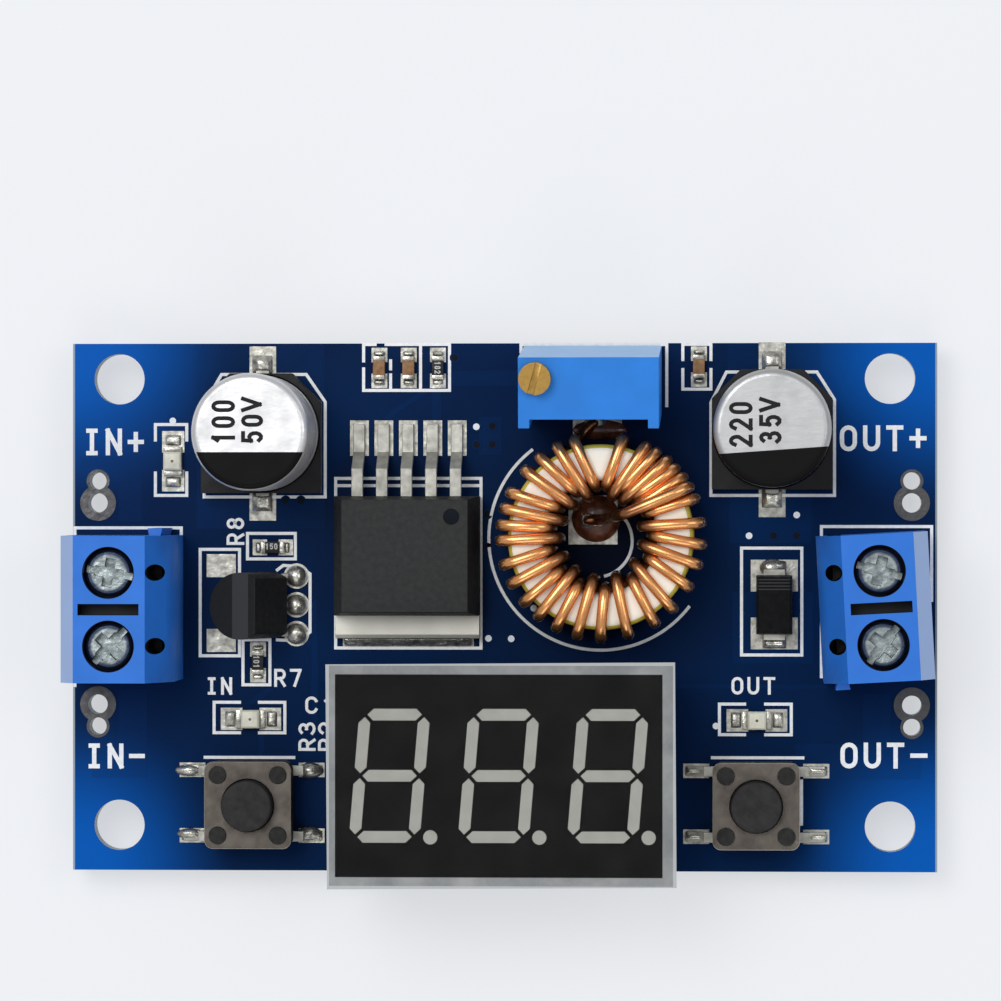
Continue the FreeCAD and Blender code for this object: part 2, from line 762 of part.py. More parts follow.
# Trimmer
def build_trimmer():
    half_x = trimmer_length / 2
    half_y = trimmer_depth / 2
    screw_x = -half_x + trimmer_screw_inset_x
    screw_y = half_y - trimmer_screw_inset_y
    room_front = -half_y + trimmer_recess_depth + trimmer_wall
    room_back = half_y - trimmer_wall
    room_left = min(-half_x + trimmer_rail_width / 2, screw_x - trimmer_worm_radius - body_gap)
    room_top = trimmer_height - trimmer_top_wall
    wheel_x = screw_x + trimmer_worm_radius + body_gap + trimmer_wheel_radius
    wheel_z = (trimmer_base_height + room_top) / 2
    wheel_front = screw_y - trimmer_wheel_thickness / 2
    shell = block(-half_x, half_x, -half_y, half_y, 0, trimmer_height)
    recess = block(
        -half_x + trimmer_rail_width, half_x - trimmer_rail_width,
        -half_y - 1, -half_y + trimmer_recess_depth, -1, trimmer_height + 1)
    room = block(room_left, half_x - trimmer_rail_width / 2, room_front, room_back, -1, room_top)
    neck_room = trimmer_screw_neck_radius + running_gap
    neck_hole = rod(screw_x, screw_y, room_top - 1, trimmer_height + 1, neck_room)
    pivot = Part.makeCylinder(
        trimmer_pivot_radius, room_back - wheel_front + 0.2, Vector(wheel_x, wheel_front - 0.1, wheel_z),
        Vector(0, 1, 0))
    housing = without(shell, [recess, room, neck_hole]).fuse(pivot).removeSplitter()

    head_low = trimmer_height + running_gap
    head_high = head_low + trimmer_screw_head_height
    worm_low = trimmer_base_height + running_gap
    worm_high = room_top - running_gap
    screw = fused([
        rod(screw_x, screw_y, head_low, head_high, trimmer_screw_head_radius),
        rod(screw_x, screw_y, worm_high, head_low, trimmer_screw_neck_radius),
        rod(screw_x, screw_y, worm_low, worm_high, trimmer_worm_radius)])
    half_slot = trimmer_slot_width / 2
    slot = block(-3, 3, -half_slot, half_slot, head_high - trimmer_slot_depth, head_high + 1)
    screw = without(screw, [moved(slot, screw_x, screw_y, 0, trimmer_slot_angle)])

    along_y = Vector(0, 1, 0)
    wheel = Part.makeCylinder(
        trimmer_wheel_radius, trimmer_wheel_thickness, Vector(wheel_x, wheel_front, wheel_z), along_y)
    bore = Part.makeCylinder(
        trimmer_pivot_radius + running_gap, trimmer_wheel_thickness + 2,
        Vector(wheel_x, wheel_front - 1, wheel_z), along_y)
    notch = block(
        trimmer_wheel_radius - trimmer_tooth_depth, trimmer_wheel_radius + 1, wheel_front - 1,
        wheel_front + trimmer_wheel_thickness + 1, -0.15, 0.15)
    notches = []
    for n in range(trimmer_wheel_teeth):
        tooth_gap = notch.copy()
        tooth_gap.Placement = Placement(
            Vector(wheel_x, 0, wheel_z), Rotation(Vector(0, 1, 0), 360 * n / trimmer_wheel_teeth))
        notches.append(tooth_gap)
    wheel = without(wheel, [bore] + notches)

    element_back = screw_y - trimmer_worm_radius - body_gap
    element = block(
        -half_x + trimmer_rail_width, half_x - trimmer_rail_width,
        element_back - trimmer_element_thickness, element_back, trimmer_base_height, room_top - body_gap)
    base = block(
        room_left + running_gap, half_x - trimmer_rail_width / 2 - running_gap, room_front + running_gap,
        room_back - running_gap, 0.2, trimmer_base_height)
    pins = []
    for n in (-1, 0, 1):
        x = n * trimmer_pin_pitch
        pin = rod(x, 0, pin_end + 0.35, trimmer_base_height, trimmer_pin_radius)
        pins.append(pin)
    base = without(base, pins)

    standing_edge = Vector(trimmer_place[0], trimmer_place[1] - half_y, board_thickness)
    lean = Placement(Vector(0, 0, 0), Rotation(Vector(1, 0, 0), trimmer_lean), standing_edge)

    def leaned(shape):
        copy = on_board(shape, trimmer_place)
        copy.Placement = lean.multiply(copy.Placement)
        return copy

    add_node("trimmer_housing", [leaned(housing)])
    add_node("trimmer_screw", [leaned(screw)])
    add_node("trimmer_wiper_wheel", [leaned(wheel)])
    add_node("trimmer_element", [leaned(element)])
    add_node("trimmer_base", [leaned(base)])
    add_node("trimmer_pins", [leaned(pin) for pin in pins])
    for pin in pins:
        real = leaned(pin)
        probe = real.common(block(-99, 99, -99, 99, 0, board_thickness))
        centre = probe.Solids[0].CenterOfMass
        cone = add_pin_hole((centre.x, centre.y), 0, 0, trimmer_pin_radius + 0.12, 0, False)
        solder_joints.append(cone.cut(real))


# Display
def segment_shapes(z0, z1, grow=0.0):
    """Seven bars and a point for one digit, centred on the digit."""
    half_w = digit_width / 2
    half_h = digit_height / 2
    t = segment_thickness / 2
    slope = math.tan(math.radians(digit_slant))

    def bar(cx, cy, length, upright):
        reach = length / 2 + grow
        thick = t + grow
        flat = [(-reach, 0), (-reach + thick, thick), (reach - thick, thick), (reach, 0),
                (reach - thick, -thick), (-reach + thick, -thick)]
        corners = [(-y, x) if upright else (x, y) for x, y in flat]
        if upright:
            corners.reverse()
        return [(cx + x + (cy + y) * slope, cy + y) for x, y in corners]

    across = digit_width - 2 * t - 2 * segment_gap
    up = half_h - t - 2 * segment_gap
    left = -half_w + t
    right = half_w - t
    bars = [bar(0, half_h - t, across, False), bar(0, 0, across, False), bar(0, t - half_h, across, False)]
    for cy in (-(half_h - t) / 2, (half_h - t) / 2):
        bars.append(bar(left, cy, up, True))
        bars.append(bar(right, cy, up, True))
    shapes = [prism_z(corners, z0, z1) for corners in bars]
    shapes.append(rod(point_offset[0], point_offset[1], z0, z1, point_radius + grow))
    return shapes


def build_display():
    half_x = display_length / 2
    half_y = display_width / 2
    place = display_place
    bottom = display_lift
    top = display_lift + display_height
    back_top = bottom + display_board_thickness
    shell = block(-half_x, half_x, -half_y, half_y, bottom, top)
    pocket = block(
        -half_x + display_wall, half_x - display_wall, -half_y + display_wall, half_y - display_wall,
        bottom - 1, back_top)
    wells = []
    windows = []
    for n in range(digit_count):
        x = (n - (digit_count - 1) / 2) * digit_pitch
        wells.extend(moved(shape, x, 0) for shape in segment_shapes(back_top - 0.1, top + 1, 0.02))
        windows.extend(moved(shape, x, 0) for shape in segment_shapes(back_top, top))
    housing = without(shell, [pocket] + wells)
    back = block(
        -half_x + display_wall + running_gap, half_x - display_wall - running_gap,
        -half_y + display_wall + running_gap, half_y - display_wall - running_gap, bottom, back_top)
    pins = []
    for row in (-1, 1):
        y = row * display_pin_row_spacing / 2
        for n in range(display_pin_count):
            x = (n - (display_pin_count - 1) / 2) * display_pin_pitch
            pin = rod(x, y, pin_end, back_top, display_pin_radius)
            pins.append(pin)
            cone = add_pin_hole(place, x, y, display_pin_radius, 0)
            solder_joints.append(cone.cut(on_board(pin, place)))
    back = without(back, pins)
    film = block(
        -half_x - display_film_overhang, half_x + display_film_overhang, -half_y - display_film_overhang,
        half_y + display_film_overhang, top, top + display_film_thickness)
    film = moved(film, display_film_shift_x, 0)
    add_node("display_housing", [on_board(housing, place)])
    add_node("display_segments", [on_board(shape, place) for shape in windows])
    add_node("display_back", [on_board(back, place)])
    add_node("display_pins", [on_board(pin, place) for pin in pins])
    add_node("display_film", [on_board(film, place, display_film_turn)])


# Push buttons
def build_switch(name, x):
    place = (x, button_row_y)
    half = switch_width / 2
    body_half = half - running_gap
    cover_bottom = switch_base_height
    cover_top = cover_bottom + switch_cover_thickness
    base = block(-body_half, body_half, -body_half, body_half, pad_thickness, cover_bottom)
    base = round_edges(base, switch_cover_corner, is_upright)
    base = without(base, [rod(0, 0, switch_floor, cover_bottom + 1, switch_well_radius)])
    cover = block(-half, half, -half, half, cover_bottom, cover_top)
    cover = round_edges(cover, switch_cover_corner, is_upright)
    rivets = []
    for sx in (-1, 1):
        for sy in (-1, 1):
            rivet_top = cover_top + rivet_stand
            rivets.append(rod(
                sx * rivet_offset, sy * rivet_offset, cover_bottom - 0.5, rivet_top, rivet_radius))
    cover = without(cover, [rod(0, 0, 0, cover_top + 1, button_radius + 2 * running_gap)] + rivets)
    trimmed_rivets = [rivet.cut(rod(0, 0, 0, cover_top + 1, switch_well_radius)) for rivet in rivets]
    flange_top = cover_bottom - running_gap
    flange_bottom = flange_top - button_flange_thickness
    stem = rod(0, 0, flange_bottom, button_top, button_radius)
    stem = stem.makeFillet(0.15, [edge for edge in stem.Edges if lies_at(edge, button_top)])
    flange = rod(0, 0, flange_bottom, flange_top, button_flange_radius)
    dome_height = button_travel + dome_rest_height
    crown = switch_floor + dome_height
    nub = rod(0, 0, crown, flange_bottom, button_nub_radius)
    button = fused([stem, flange, nub])
    sphere_radius = (dome_radius ** 2 + dome_height ** 2) / (2 * dome_height)
    centre = Vector(0, 0, crown - sphere_radius)
    dome = Part.makeSphere(sphere_radius, centre).cut(Part.makeSphere(sphere_radius - dome_thickness, centre))
    dome = dome.common(rod(0, 0, switch_floor, crown + 1, dome_radius))
    strips = []
    t = switch_lead_thickness
    foot = switch_lead_span / 2
    knee = switch_lead_drop
    level = switch_floor - 0.45
    low = pad_thickness
    profile = [
        (-foot, low), (-knee, low), (-knee, level), (knee, level), (knee, low), (foot, low),
        (foot, low + t), (knee + t, low + t), (knee + t, level + t),
        (-knee - t, level + t), (-knee - t, low + t), (-foot, low + t)]
    for sy in (-1, 1):
        y = sy * switch_lead_offset
        strips.append(prism_y(profile, y - switch_lead_width / 2, y + switch_lead_width / 2))
    base = without(fused([base] + trimmed_rivets), strips)
    placed_strips = [on_board(strip, place) for strip in strips]
    add_node(name + "_switch_base", [on_board(base, place)])
    add_node(name + "_switch_cover", [on_board(cover, place)])
    add_node(name + "_button", [on_board(button, place)])
    add_node(name + "_switch_dome", [on_board(dome, place)])
    add_node(name + "_switch_leads", placed_strips)
    for sx in (-1, 1):
        for sy in (-1, 1):
            pad_x = sx * (foot - switch_pad_inset)
            add_pad(place, pad_x, sy * switch_lead_offset, switch_pad_length, switch_lead_width + 2 * switch_pad_margin)
            solder_wedge(place, pad_x + sx * 0.1, sy * switch_lead_offset, 1.5, switch_lead_width + 0.2,
                         switch_lead_thickness * 1.4, placed_strips)


# Diode
def build_diode():
    half_x = diode_width / 2
    half_y = diode_length / 2
    bottom = pad_thickness + diode_lift
    waist = diode_height / 2

    def level(inset, z):
        return rectangle(half_x - inset, half_y - inset, z)

    body = fused([
        Part.makeLoft([level(0.12, bottom), level(0, waist)], True, True),
        Part.makeLoft([level(0, waist), level(0.15, diode_height)], True, True)])
    t = diode_lead_thickness
    end = half_y + diode_lead_reach
    foot = half_y - diode_lead_foot
    profile = [
        (foot, pad_thickness), (end, pad_thickness), (end, waist), (half_y - 0.5, waist),
        (half_y - 0.5, waist - t), (end - t, waist - t), (end - t, pad_thickness + diode_lift - 0.02),
        (foot, pad_thickness + diode_lift - 0.02)]
    lead = prism_x(profile, -diode_lead_width / 2, diode_lead_width / 2)
    leads = [on_board(lead, diode_place), on_board(lead, diode_place, 180)]
    add_node("diode_body", [without(on_board(body, diode_place), leads)])
    add_node("diode_leads", leads)
    for side in (-1, 1):
        pad_y = side * (half_y - 0.05)
        add_pad(diode_place, 0, pad_y, 3.25, 2.2)
        solder_wedge(diode_place, 0, side * (end + 0.2), diode_lead_width + 0.3, 0.9, waist * 0.6,
                     leads + nodes["diode_body"])


# Small regulator
def build_small_regulator():
    flat_x = small_regulator_depth - small_regulator_radius
    cylinder = rod(0, 0, 0, small_regulator_height, small_regulator_radius)
    body = cylinder.cut(block(flat_x, 9, -9, 9, -1, small_regulator_height + 1))
    body.translate(Vector(-flat_x, 0, 0))
    lean = Rotation(Vector(0, 1, 0), -small_regulator_lean)
    foot = Vector(small_regulator_face_foot[0], 0, small_regulator_face_foot[1])
    body.Placement = Placement(foot, lean).multiply(body.Placement)
    leads = []
    inset = small_regulator_lead_inset
    for n in (-1, 0, 1):
        lead_y = n * small_regulator_lead_pitch
        exit_point = foot.add(lean.multVec(Vector(-inset, lead_y, 0.4)))
        below = foot.add(lean.multVec(Vector(-inset, lead_y, -0.3)))
        hole_y = n * small_regulator_hole_pitch
        level = pad_thickness + small_regulator_lead_radius + 0.15
        knee = Vector(-0.9, hole_y, level)
        points = [exit_point, below, knee, Vector(0, hole_y, level), Vector(0, hole_y, pin_end + 0.2)]
        lead = round_wire(points, small_regulator_lead_radius, 0.35)
        placed = on_board(lead, small_regulator_hole)
        leads.append(placed)
        cone = add_pin_hole(small_regulator_hole, 0, hole_y, small_regulator_lead_radius)
        solder_joints.append(cone.cut(placed))
        blob = Part.makeSphere(0.75)
        blob = blob.common(block(-1, 1, -1, 1, -0.2, 1))
        blob.translate(Vector(0, hole_y, 0.2 + pad_thickness))
        blob = on_board(blob, small_regulator_hole).cut(placed)
        solder_joints.extend(solid for solid in blob.Solids if solid.Volume > 0.01)
    add_node("small_regulator_body", [without(on_board(body, small_regulator_hole), leads)])
    add_node("small_regulator_leads", leads)
    for side in (-1, 1):
        add_pad(spare_part_place, 0, side * spare_pad_pitch / 2, spare_pad_width, spare_pad_length)


# Chip parts
def build_chip_part(node, size, end_length, pad_reach, place, lens=None):
    x, y, turn = place
    length, width, height = size
    bottom = pad_thickness
    body = block(-length / 2, length / 2, -width / 2, width / 2, bottom, bottom + height)
    ends = []
    for side in (-1, 1):
        low = min(side * length / 2, side * (length / 2 - end_length))
        end = block(low, low + end_length, -width / 2, width / 2, bottom, bottom + height)
        core = block(low - 1, low + 1 + end_length, -width / 2 + 0.05, width / 2 - 0.05, bottom + 0.05,
                     bottom + height - 0.05)
        core = core.common(block(-length / 2 + 0.05, length / 2 - 0.05, -9, 9, -9, 9))
        ends.append(end.cut(core))
    body = without(body, ends)
    if lens:
        lens_length, lens_height = lens
        top = bottom + height
        cap = block(-lens_length / 2, lens_length / 2, -width / 2, width / 2, top, top + lens_height)
        cap = cap.makeChamfer(0.12, [edge for edge in cap.Edges if lies_at(edge, top + lens_height)])
        body = body.fuse(cap).removeSplitter()
    placed = on_board(body, (x, y), turn)
    placed_ends = [on_board(end, (x, y), turn) for end in ends]
    add_node(node, [placed])
    add_node("chip_part_ends", placed_ends)
    solder_length = pad_reach - 0.1
    for side in (-1, 1):
        centre = side * (length / 2 + (pad_reach - chip_pad_overlap) / 2)
        add_pad((x, y), centre, 0, pad_reach + chip_pad_overlap, width + 2 * chip_pad_margin, turn)
        heap_centre = side * (length / 2 + solder_length / 2 - 0.05)
        solder_wedge((x, y), heap_centre, 0, solder_length, width + 0.1, height * 0.6,
                     placed_ends + [placed], turn)


# Meter controller
def build_controller():
    half_x = controller_length / 2
    half_y = controller_width / 2
    bottom = pad_thickness + controller_lift
    body = block(-half_x, half_x, -half_y, half_y, bottom, bottom + controller_height)
    leads = []
    t = controller_lead_thickness
    mid = bottom + controller_height / 2
    end = half_y + controller_lead_reach
    low = pad_thickness
    profile = [
        (half_y - 0.3, mid), (half_y + 0.3, mid), (half_y + 0.45, low + t), (end, low + t),
        (end, low), (half_y + 0.3, low), (half_y + 0.15, mid - t), (half_y - 0.3, mid - t)]
    for n in range(controller_lead_count):
        x = (n - (controller_lead_count - 1) / 2) * controller_lead_pitch
        lead = prism_x(profile, x - controller_lead_width / 2, x + controller_lead_width / 2)
        for turn in (0, 180):
            leads.append(on_board(lead, controller_place, turn))
        for side in (-1, 1):
            add_pad(controller_place, x, side * (end - 0.25), controller_lead_width + 0.1, 0.9)
    add_node("controller_body", [without(on_board(body, controller_place), leads)])
    add_node("controller_leads", leads)


# Board
def build_board():
    plate = block(board_left, board_right, board_front, board_back, 0, board_thickness)
    holes = []
    for sx in (-1, 1):
        for sy in (-1, 1):
            holes.append((
                (sx * mount_hole_spacing_x / 2, sy * mount_hole_spacing_y / 2), mount_hole_radius))
            wide = (sx * wire_hole_spacing_x / 2, wire_hole_offset_y + sy * wire_hole_spacing_y / 2)
            thin = (sx * wire_hole_spacing_x / 2, wire_hole_offset_y + sy * thin_wire_hole_spacing_y / 2)
            holes.append((wide, wire_hole_radius))
            holes.append((thin, thin_wire_hole_radius))
            for z0 in (-pad_thickness, board_thickness):
                pad = fused([
                    rod(wide[0], wide[1], z0, z0 + pad_thickness, wire_pad_radius),
                    rod(thin[0], thin[1], z0, z0 + pad_thickness, thin_wire_pad_radius)])
                copper_pads.append(without(pad, [
                    rod(wide[0], wide[1], -1, 3, wire_hole_radius),
                    rod(thin[0], thin[1], -1, 3, thin_wire_hole_radius)]))
    plate = without(plate, [rod(x, y, -1, board_thickness + 1, r) for (x, y), r in holes + drilled_holes])
    add_node("circuit_board", [plate])
    add_node("copper_pads", copper_pads)
    add_node("solder_joints", solder_joints)


terminal_reach = terminal_depth / 2 + terminal_edge_setback
build_terminal("input", (board_left + terminal_reach, board_offset_y), 0.0)
output_terminal_place = (
    board_right - terminal_reach + output_terminal_shift_x, board_offset_y + output_terminal_shift_y)
build_terminal("output", output_terminal_place, output_terminal_turn)
build_chip()
build_coil()
build_capacitor("input_capacitor", input_capacitor_place)
build_capacitor("output_capacitor", output_capacitor_place)
build_trimmer()
build_display()
build_switch("left", -button_spacing / 2)
build_switch("right", button_spacing / 2)
build_diode()
build_small_regulator()
for chip_place_here in chip_resistor_places:
    build_chip_part("chip_resistors", chip_resistor_size, chip_end_length, chip_pad_reach, chip_place_here)
for chip_place_here in chip_capacitor_places:
    build_chip_part("chip_capacitors", chip_capacitor_size, chip_end_length, chip_pad_reach, chip_place_here)
for led_name, led_place in led_places.items():
    build_chip_part(led_name, led_size, led_end_length, led_pad_reach, led_place,
                    (led_lens_length, led_lens_height))
build_controller()
build_board()

os.makedirs("parts", exist_ok=True)
for node_name, solids in nodes.items():
    shape = solids[0] if len(solids) == 1 else Part.makeCompound(solids)
    bad = [solid for solid in solids if not solid.isValid() or solid.Volume <= 0]
    print(node_name, len(shape.Solids), round(shape.Volume, 3), "BAD" if bad else "")
    shape.exportStep("parts/" + node_name + ".step")
print(len(nodes), "nodes")
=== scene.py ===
import json
import math

import bpy
from bpy.props import FloatProperty, FloatVectorProperty, PointerProperty
from mathutils import Matrix, Vector

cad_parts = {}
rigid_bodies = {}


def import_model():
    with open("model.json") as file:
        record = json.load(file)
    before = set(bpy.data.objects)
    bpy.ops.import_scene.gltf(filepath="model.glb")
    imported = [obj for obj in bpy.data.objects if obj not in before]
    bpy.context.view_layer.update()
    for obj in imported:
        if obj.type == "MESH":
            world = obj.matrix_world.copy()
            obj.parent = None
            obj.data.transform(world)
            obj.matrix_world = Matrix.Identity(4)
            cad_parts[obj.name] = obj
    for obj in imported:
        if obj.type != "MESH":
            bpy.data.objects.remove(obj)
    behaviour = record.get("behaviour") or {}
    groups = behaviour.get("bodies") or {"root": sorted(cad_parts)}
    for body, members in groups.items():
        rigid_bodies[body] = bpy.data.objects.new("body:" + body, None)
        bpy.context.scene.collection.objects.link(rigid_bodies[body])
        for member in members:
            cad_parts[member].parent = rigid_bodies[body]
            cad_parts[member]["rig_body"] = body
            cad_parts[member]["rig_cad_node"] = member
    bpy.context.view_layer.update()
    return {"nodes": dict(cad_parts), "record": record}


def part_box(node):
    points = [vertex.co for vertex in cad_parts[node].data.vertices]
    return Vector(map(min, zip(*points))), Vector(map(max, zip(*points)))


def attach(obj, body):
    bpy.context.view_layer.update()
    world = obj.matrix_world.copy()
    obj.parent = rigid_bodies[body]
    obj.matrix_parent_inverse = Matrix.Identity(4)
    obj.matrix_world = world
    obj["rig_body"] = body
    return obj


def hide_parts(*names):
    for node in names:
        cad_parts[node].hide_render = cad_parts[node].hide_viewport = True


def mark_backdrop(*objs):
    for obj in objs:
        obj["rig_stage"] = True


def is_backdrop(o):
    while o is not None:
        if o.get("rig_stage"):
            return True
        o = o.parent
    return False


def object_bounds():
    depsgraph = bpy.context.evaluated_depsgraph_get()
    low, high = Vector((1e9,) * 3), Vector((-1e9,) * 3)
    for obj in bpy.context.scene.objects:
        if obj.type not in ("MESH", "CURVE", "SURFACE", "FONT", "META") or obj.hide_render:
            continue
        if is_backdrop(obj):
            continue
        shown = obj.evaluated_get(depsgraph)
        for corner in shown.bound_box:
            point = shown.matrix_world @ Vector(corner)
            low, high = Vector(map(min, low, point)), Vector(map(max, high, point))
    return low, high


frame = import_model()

bl_info = {
    "name": "Step-down converter module",
    "version": (1, 0, 0),
    "blender": (4, 5, 0),
    "location": "3D View > Sidebar > Module",
    "description": "Dresses the board, its parts, its print and its studio",
    "category": "Object",
}

# Lengths below are millimetres in the frame of the solids: +Z up, +X from input to output.
MM = 0.001
NODES = frame["nodes"]
BOARD_LOW, BOARD_HIGH = (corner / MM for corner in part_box("circuit_board"))
BOARD_TOP = BOARD_HIGH.z
BOARD_MIDDLE = (BOARD_LOW + BOARD_HIGH) / 2

# Places read from the photograph in its own pixels, and what turns them into millimetres
PIXELS_PER_MM = 14.4
BOARD_MIDDLE_PIXEL = (504.6, 607.1)

# Flat pieces laid over each other differ in height by this much, so that no two faces share a plane
LAYER = 0.0012
LAYERS = 11

finishes = {}


def shade(red, green, blue):
    """A colour as seen on screen, 0 to 255, as Blender's linear red, green and blue."""
    def linear(v):
        v /= 255
        return v / 12.92 if v < 0.04045 else ((v + 0.055) / 1.055) ** 2.4
    return (linear(red), linear(green), linear(blue))


def colour(label, use, rgb):
    return FloatVectorProperty(
        name=label, description=use, default=shade(*rgb), subtype="COLOR", min=0, max=1)


def length(label, use, mm):
    return FloatProperty(
        name=label, description=use, default=mm * MM, subtype="DISTANCE", unit="LENGTH", precision=6)


class ModuleSizes(bpy.types.PropertyGroup):
    """Sizes of what is added to the solids"""
    print_line: length("Print line", "Width of the printed lines on the board", 0.21)
    print_thickness: length("Print thickness", "Height of the print above the solder mask", 0.045)
    letter_stroke: length("Letter stroke", "Width of the strokes of printed letters", 0.2)
    large_stroke: length("Large stroke", "Width of the strokes of the large letters", 0.3)
    value_stroke: length("Value stroke", "Width of the strokes on the cans", 0.27)
    number_stroke: length("Number stroke", "Width of the strokes on the chip resistors", 0.075)
    pour_thickness: length("Copper step", "How far copper under the mask lifts it", 0.012)
    housing_edge: length("Housing edge", "Rounding of moulded edges", 0.12)
    small_edge: length("Small edge", "Rounding of small parts' edges", 0.04)
    solder_grain: length("Solder detail", "Fineness of the solder's surface", 0.085)
    wire_swell: length("Wire swell", "Enamel, and what rounding takes off the coil's wire", 0.065)
    camera_lens: FloatProperty(
        name="Lens", description="Focal length in millimetres", default=201.83, min=20, max=400)
    camera_height: length("Camera height", "Height of the camera above the board's underside", 390.45)
    floor_width: length("Floor", "Width of the pale floor", 900.0)


class ModuleColours(bpy.types.PropertyGroup):
    """Colours of the finishes"""
    # The mask is drawn darker over the board's middle and brighter towards its corners
    mask_dark: colour("Mask over copper", "Solder mask over the board's middle", (4, 35, 76))
    mask_bright: colour("Mask over fibre", "Solder mask near the corners", (8, 88, 178))
    board_edge: colour("Board edge", "Cut edge of the board", (166, 176, 176))
    print_white: colour("Print", "White board print", (246, 248, 249))
    terminal_blue: colour("Terminals", "Moulded terminal blocks", (38, 116, 216))
    trimmer_blue: colour("Trimmer", "Moulded trimmer housing", (36, 128, 222))
    chip_black: colour("Chip", "Moulded chip bodies", (42, 43, 43))
    core_cream: colour("Core", "Coating of the coil's core", (255, 250, 236))
    core_yellow: colour("Core rim", "Coating on the core's outer rim", (206, 188, 72))
    wire_copper: colour("Wire", "Enamelled copper wire", (248, 174, 108))
    can_silver: colour("Can", "Aluminium of the cans", (200, 200, 201))
    tin: colour("Tin", "Tinned copper and leads", (204, 202, 192))
    brass: colour("Brass", "Trimmer screw", (196, 156, 84))
    steel_brown: colour("Switch cover", "Brushed switch covers", (104, 97, 90))
    segment_grey: colour("Segments", "Unlit display segments", (168, 168, 160))
    lamp_cream: colour("Lamp", "Small lamps", (226, 224, 206))


# Working in Blender

def sizes():
    return bpy.context.scene.module_sizes


def colours():
    return bpy.context.scene.module_colours


def only(obj):
    if bpy.context.mode != "OBJECT":
        bpy.ops.object.mode_set(mode="OBJECT")
    bpy.ops.object.select_all(action="DESELECT")
    obj.select_set(True)
    bpy.context.view_layer.objects.active = obj


def edit(obj, *steps):
    """Runs edit-mode steps with the whole mesh selected."""
    only(obj)
    bpy.ops.object.mode_set(mode="EDIT")
    bpy.ops.mesh.select_all(action="SELECT")
    for step in steps:
        step()
    bpy.ops.object.mode_set(mode="OBJECT")


def settle(obj):
    """Puts the object's place and turn into its mesh."""
    only(obj)
    bpy.ops.object.transform_apply(location=True, rotation=True, scale=True)


def modify(obj, kind, **values):
    only(obj)
    mod = obj.modifiers.new(kind.title(), kind)
    for key, value in values.items():
        setattr(mod, key, value)
    bpy.ops.object.modifier_apply(modifier=mod.name)


def smooth(obj, degrees=35):
    only(obj)
    bpy.ops.object.shade_smooth_by_angle(angle=math.radians(degrees))


def joined(parts, name):
    """One piece from several, each already in its place."""
    for part in parts:
        settle(part)
    bpy.ops.object.select_all(action="DESELECT")
    for part in parts:
        part.select_set(True)
    bpy.context.view_layer.objects.active = parts[0]
    if len(parts) > 1:
        bpy.ops.object.join()
    piece = bpy.context.view_layer.objects.active
    piece.name = name
    return piece


def dress(obj, slot, finish=None, body="root"):
    """Gives a piece its material, the finish or else the one named after its slot, and the body it rides on."""
    obj.data.materials.clear()
    obj.data.materials.append(finishes[finish or slot])
    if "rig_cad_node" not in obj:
        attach(obj, body)
    return obj


def body_of(node):
    for name, members in frame["record"]["behaviour"]["bodies"].items():
        if node in members:
            return name
    raise RuntimeError("no body holds " + node)


def plain(node, slot, finish=None):
    return dress(NODES[node], slot, finish)


def copied(node):
    """A merged copy of a solid's mesh."""
    only(NODES[node])
    bpy.ops.object.duplicate()
    copy = bpy.context.view_layer.objects.active
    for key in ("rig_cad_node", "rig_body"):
        del copy[key]
    copy.parent = None
    copy.matrix_world = Matrix.Identity(4)
    copy.name = node + "_look"
    bpy.ops.mesh.customdata_custom_splitnormals_clear()
    edit(copy, lambda: bpy.ops.mesh.remove_doubles(threshold=1e-6))
    return copy


def whole_faces():
    bpy.ops.mesh.dissolve_limited(angle_limit=math.radians(0.3))


def softened(node, slot, edge=None, finish=None, angle=35, segments=2):
    """A copy of a solid with worn edges, which stands for it."""
    copy = copied(node)
    edit(copy, whole_faces)
    modify(copy, "BEVEL", width=edge or sizes().small_edge, segments=segments, limit_method="ANGLE",
           angle_limit=math.radians(angle), use_clamp_overlap=True)
    smooth(copy, 50)
    modify(copy, "WEIGHTED_NORMAL", keep_sharp=True)
    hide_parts(node)
    return dress(copy, slot, finish, body_of(node))


def block(x0, x1, y0, y1, z0, z1):
    bpy.ops.mesh.primitive_cube_add(
        size=1, location=Vector(((x0 + x1) / 2, (y0 + y1) / 2, (z0 + z1) / 2)) * MM,
        scale=Vector((x1 - x0, y1 - y0, z1 - z0)) * MM)
    return bpy.context.view_layer.objects.active


def disc(x, y, radius, z0, z1, sides=28):
    bpy.ops.mesh.primitive_cylinder_add(
        vertices=sides, radius=radius * MM, depth=(z1 - z0) * MM, location=Vector((x, y, (z0 + z1) / 2)) * MM)
    return bpy.context.view_layer.objects.active


def bar(start, end, width, z0, z1, before, after):
    """A flat square-ended strip, which runs a little past both its places."""
    run = Vector(end) - Vector(start)
    strip = block(-before, run.length + after, -width / 2, width / 2, z0, z1)
    settle(strip)
    strip.rotation_euler.z = math.atan2(run.y, run.x)
    strip.location = Vector((*start, 0)) * MM
    return strip


def spot(pixel):
    """A place on the board, read from the photograph."""
    x = (pixel[0] - BOARD_MIDDLE_PIXEL[0]) / PIXELS_PER_MM
    y = (BOARD_MIDDLE_PIXEL[1] - pixel[1]) / PIXELS_PER_MM
    return Vector((x, y + BOARD_MIDDLE.y))


# Print

def arc(x, y, wide, tall, start, end, steps=8):
    """Places along part of an oval, in a letter's own unit square."""
    turns = [math.radians(start + (end - start) * n / steps) for n in range(steps + 1)]
    return [(x + wide * math.cos(turn), y + tall * math.sin(turn)) for turn in turns]


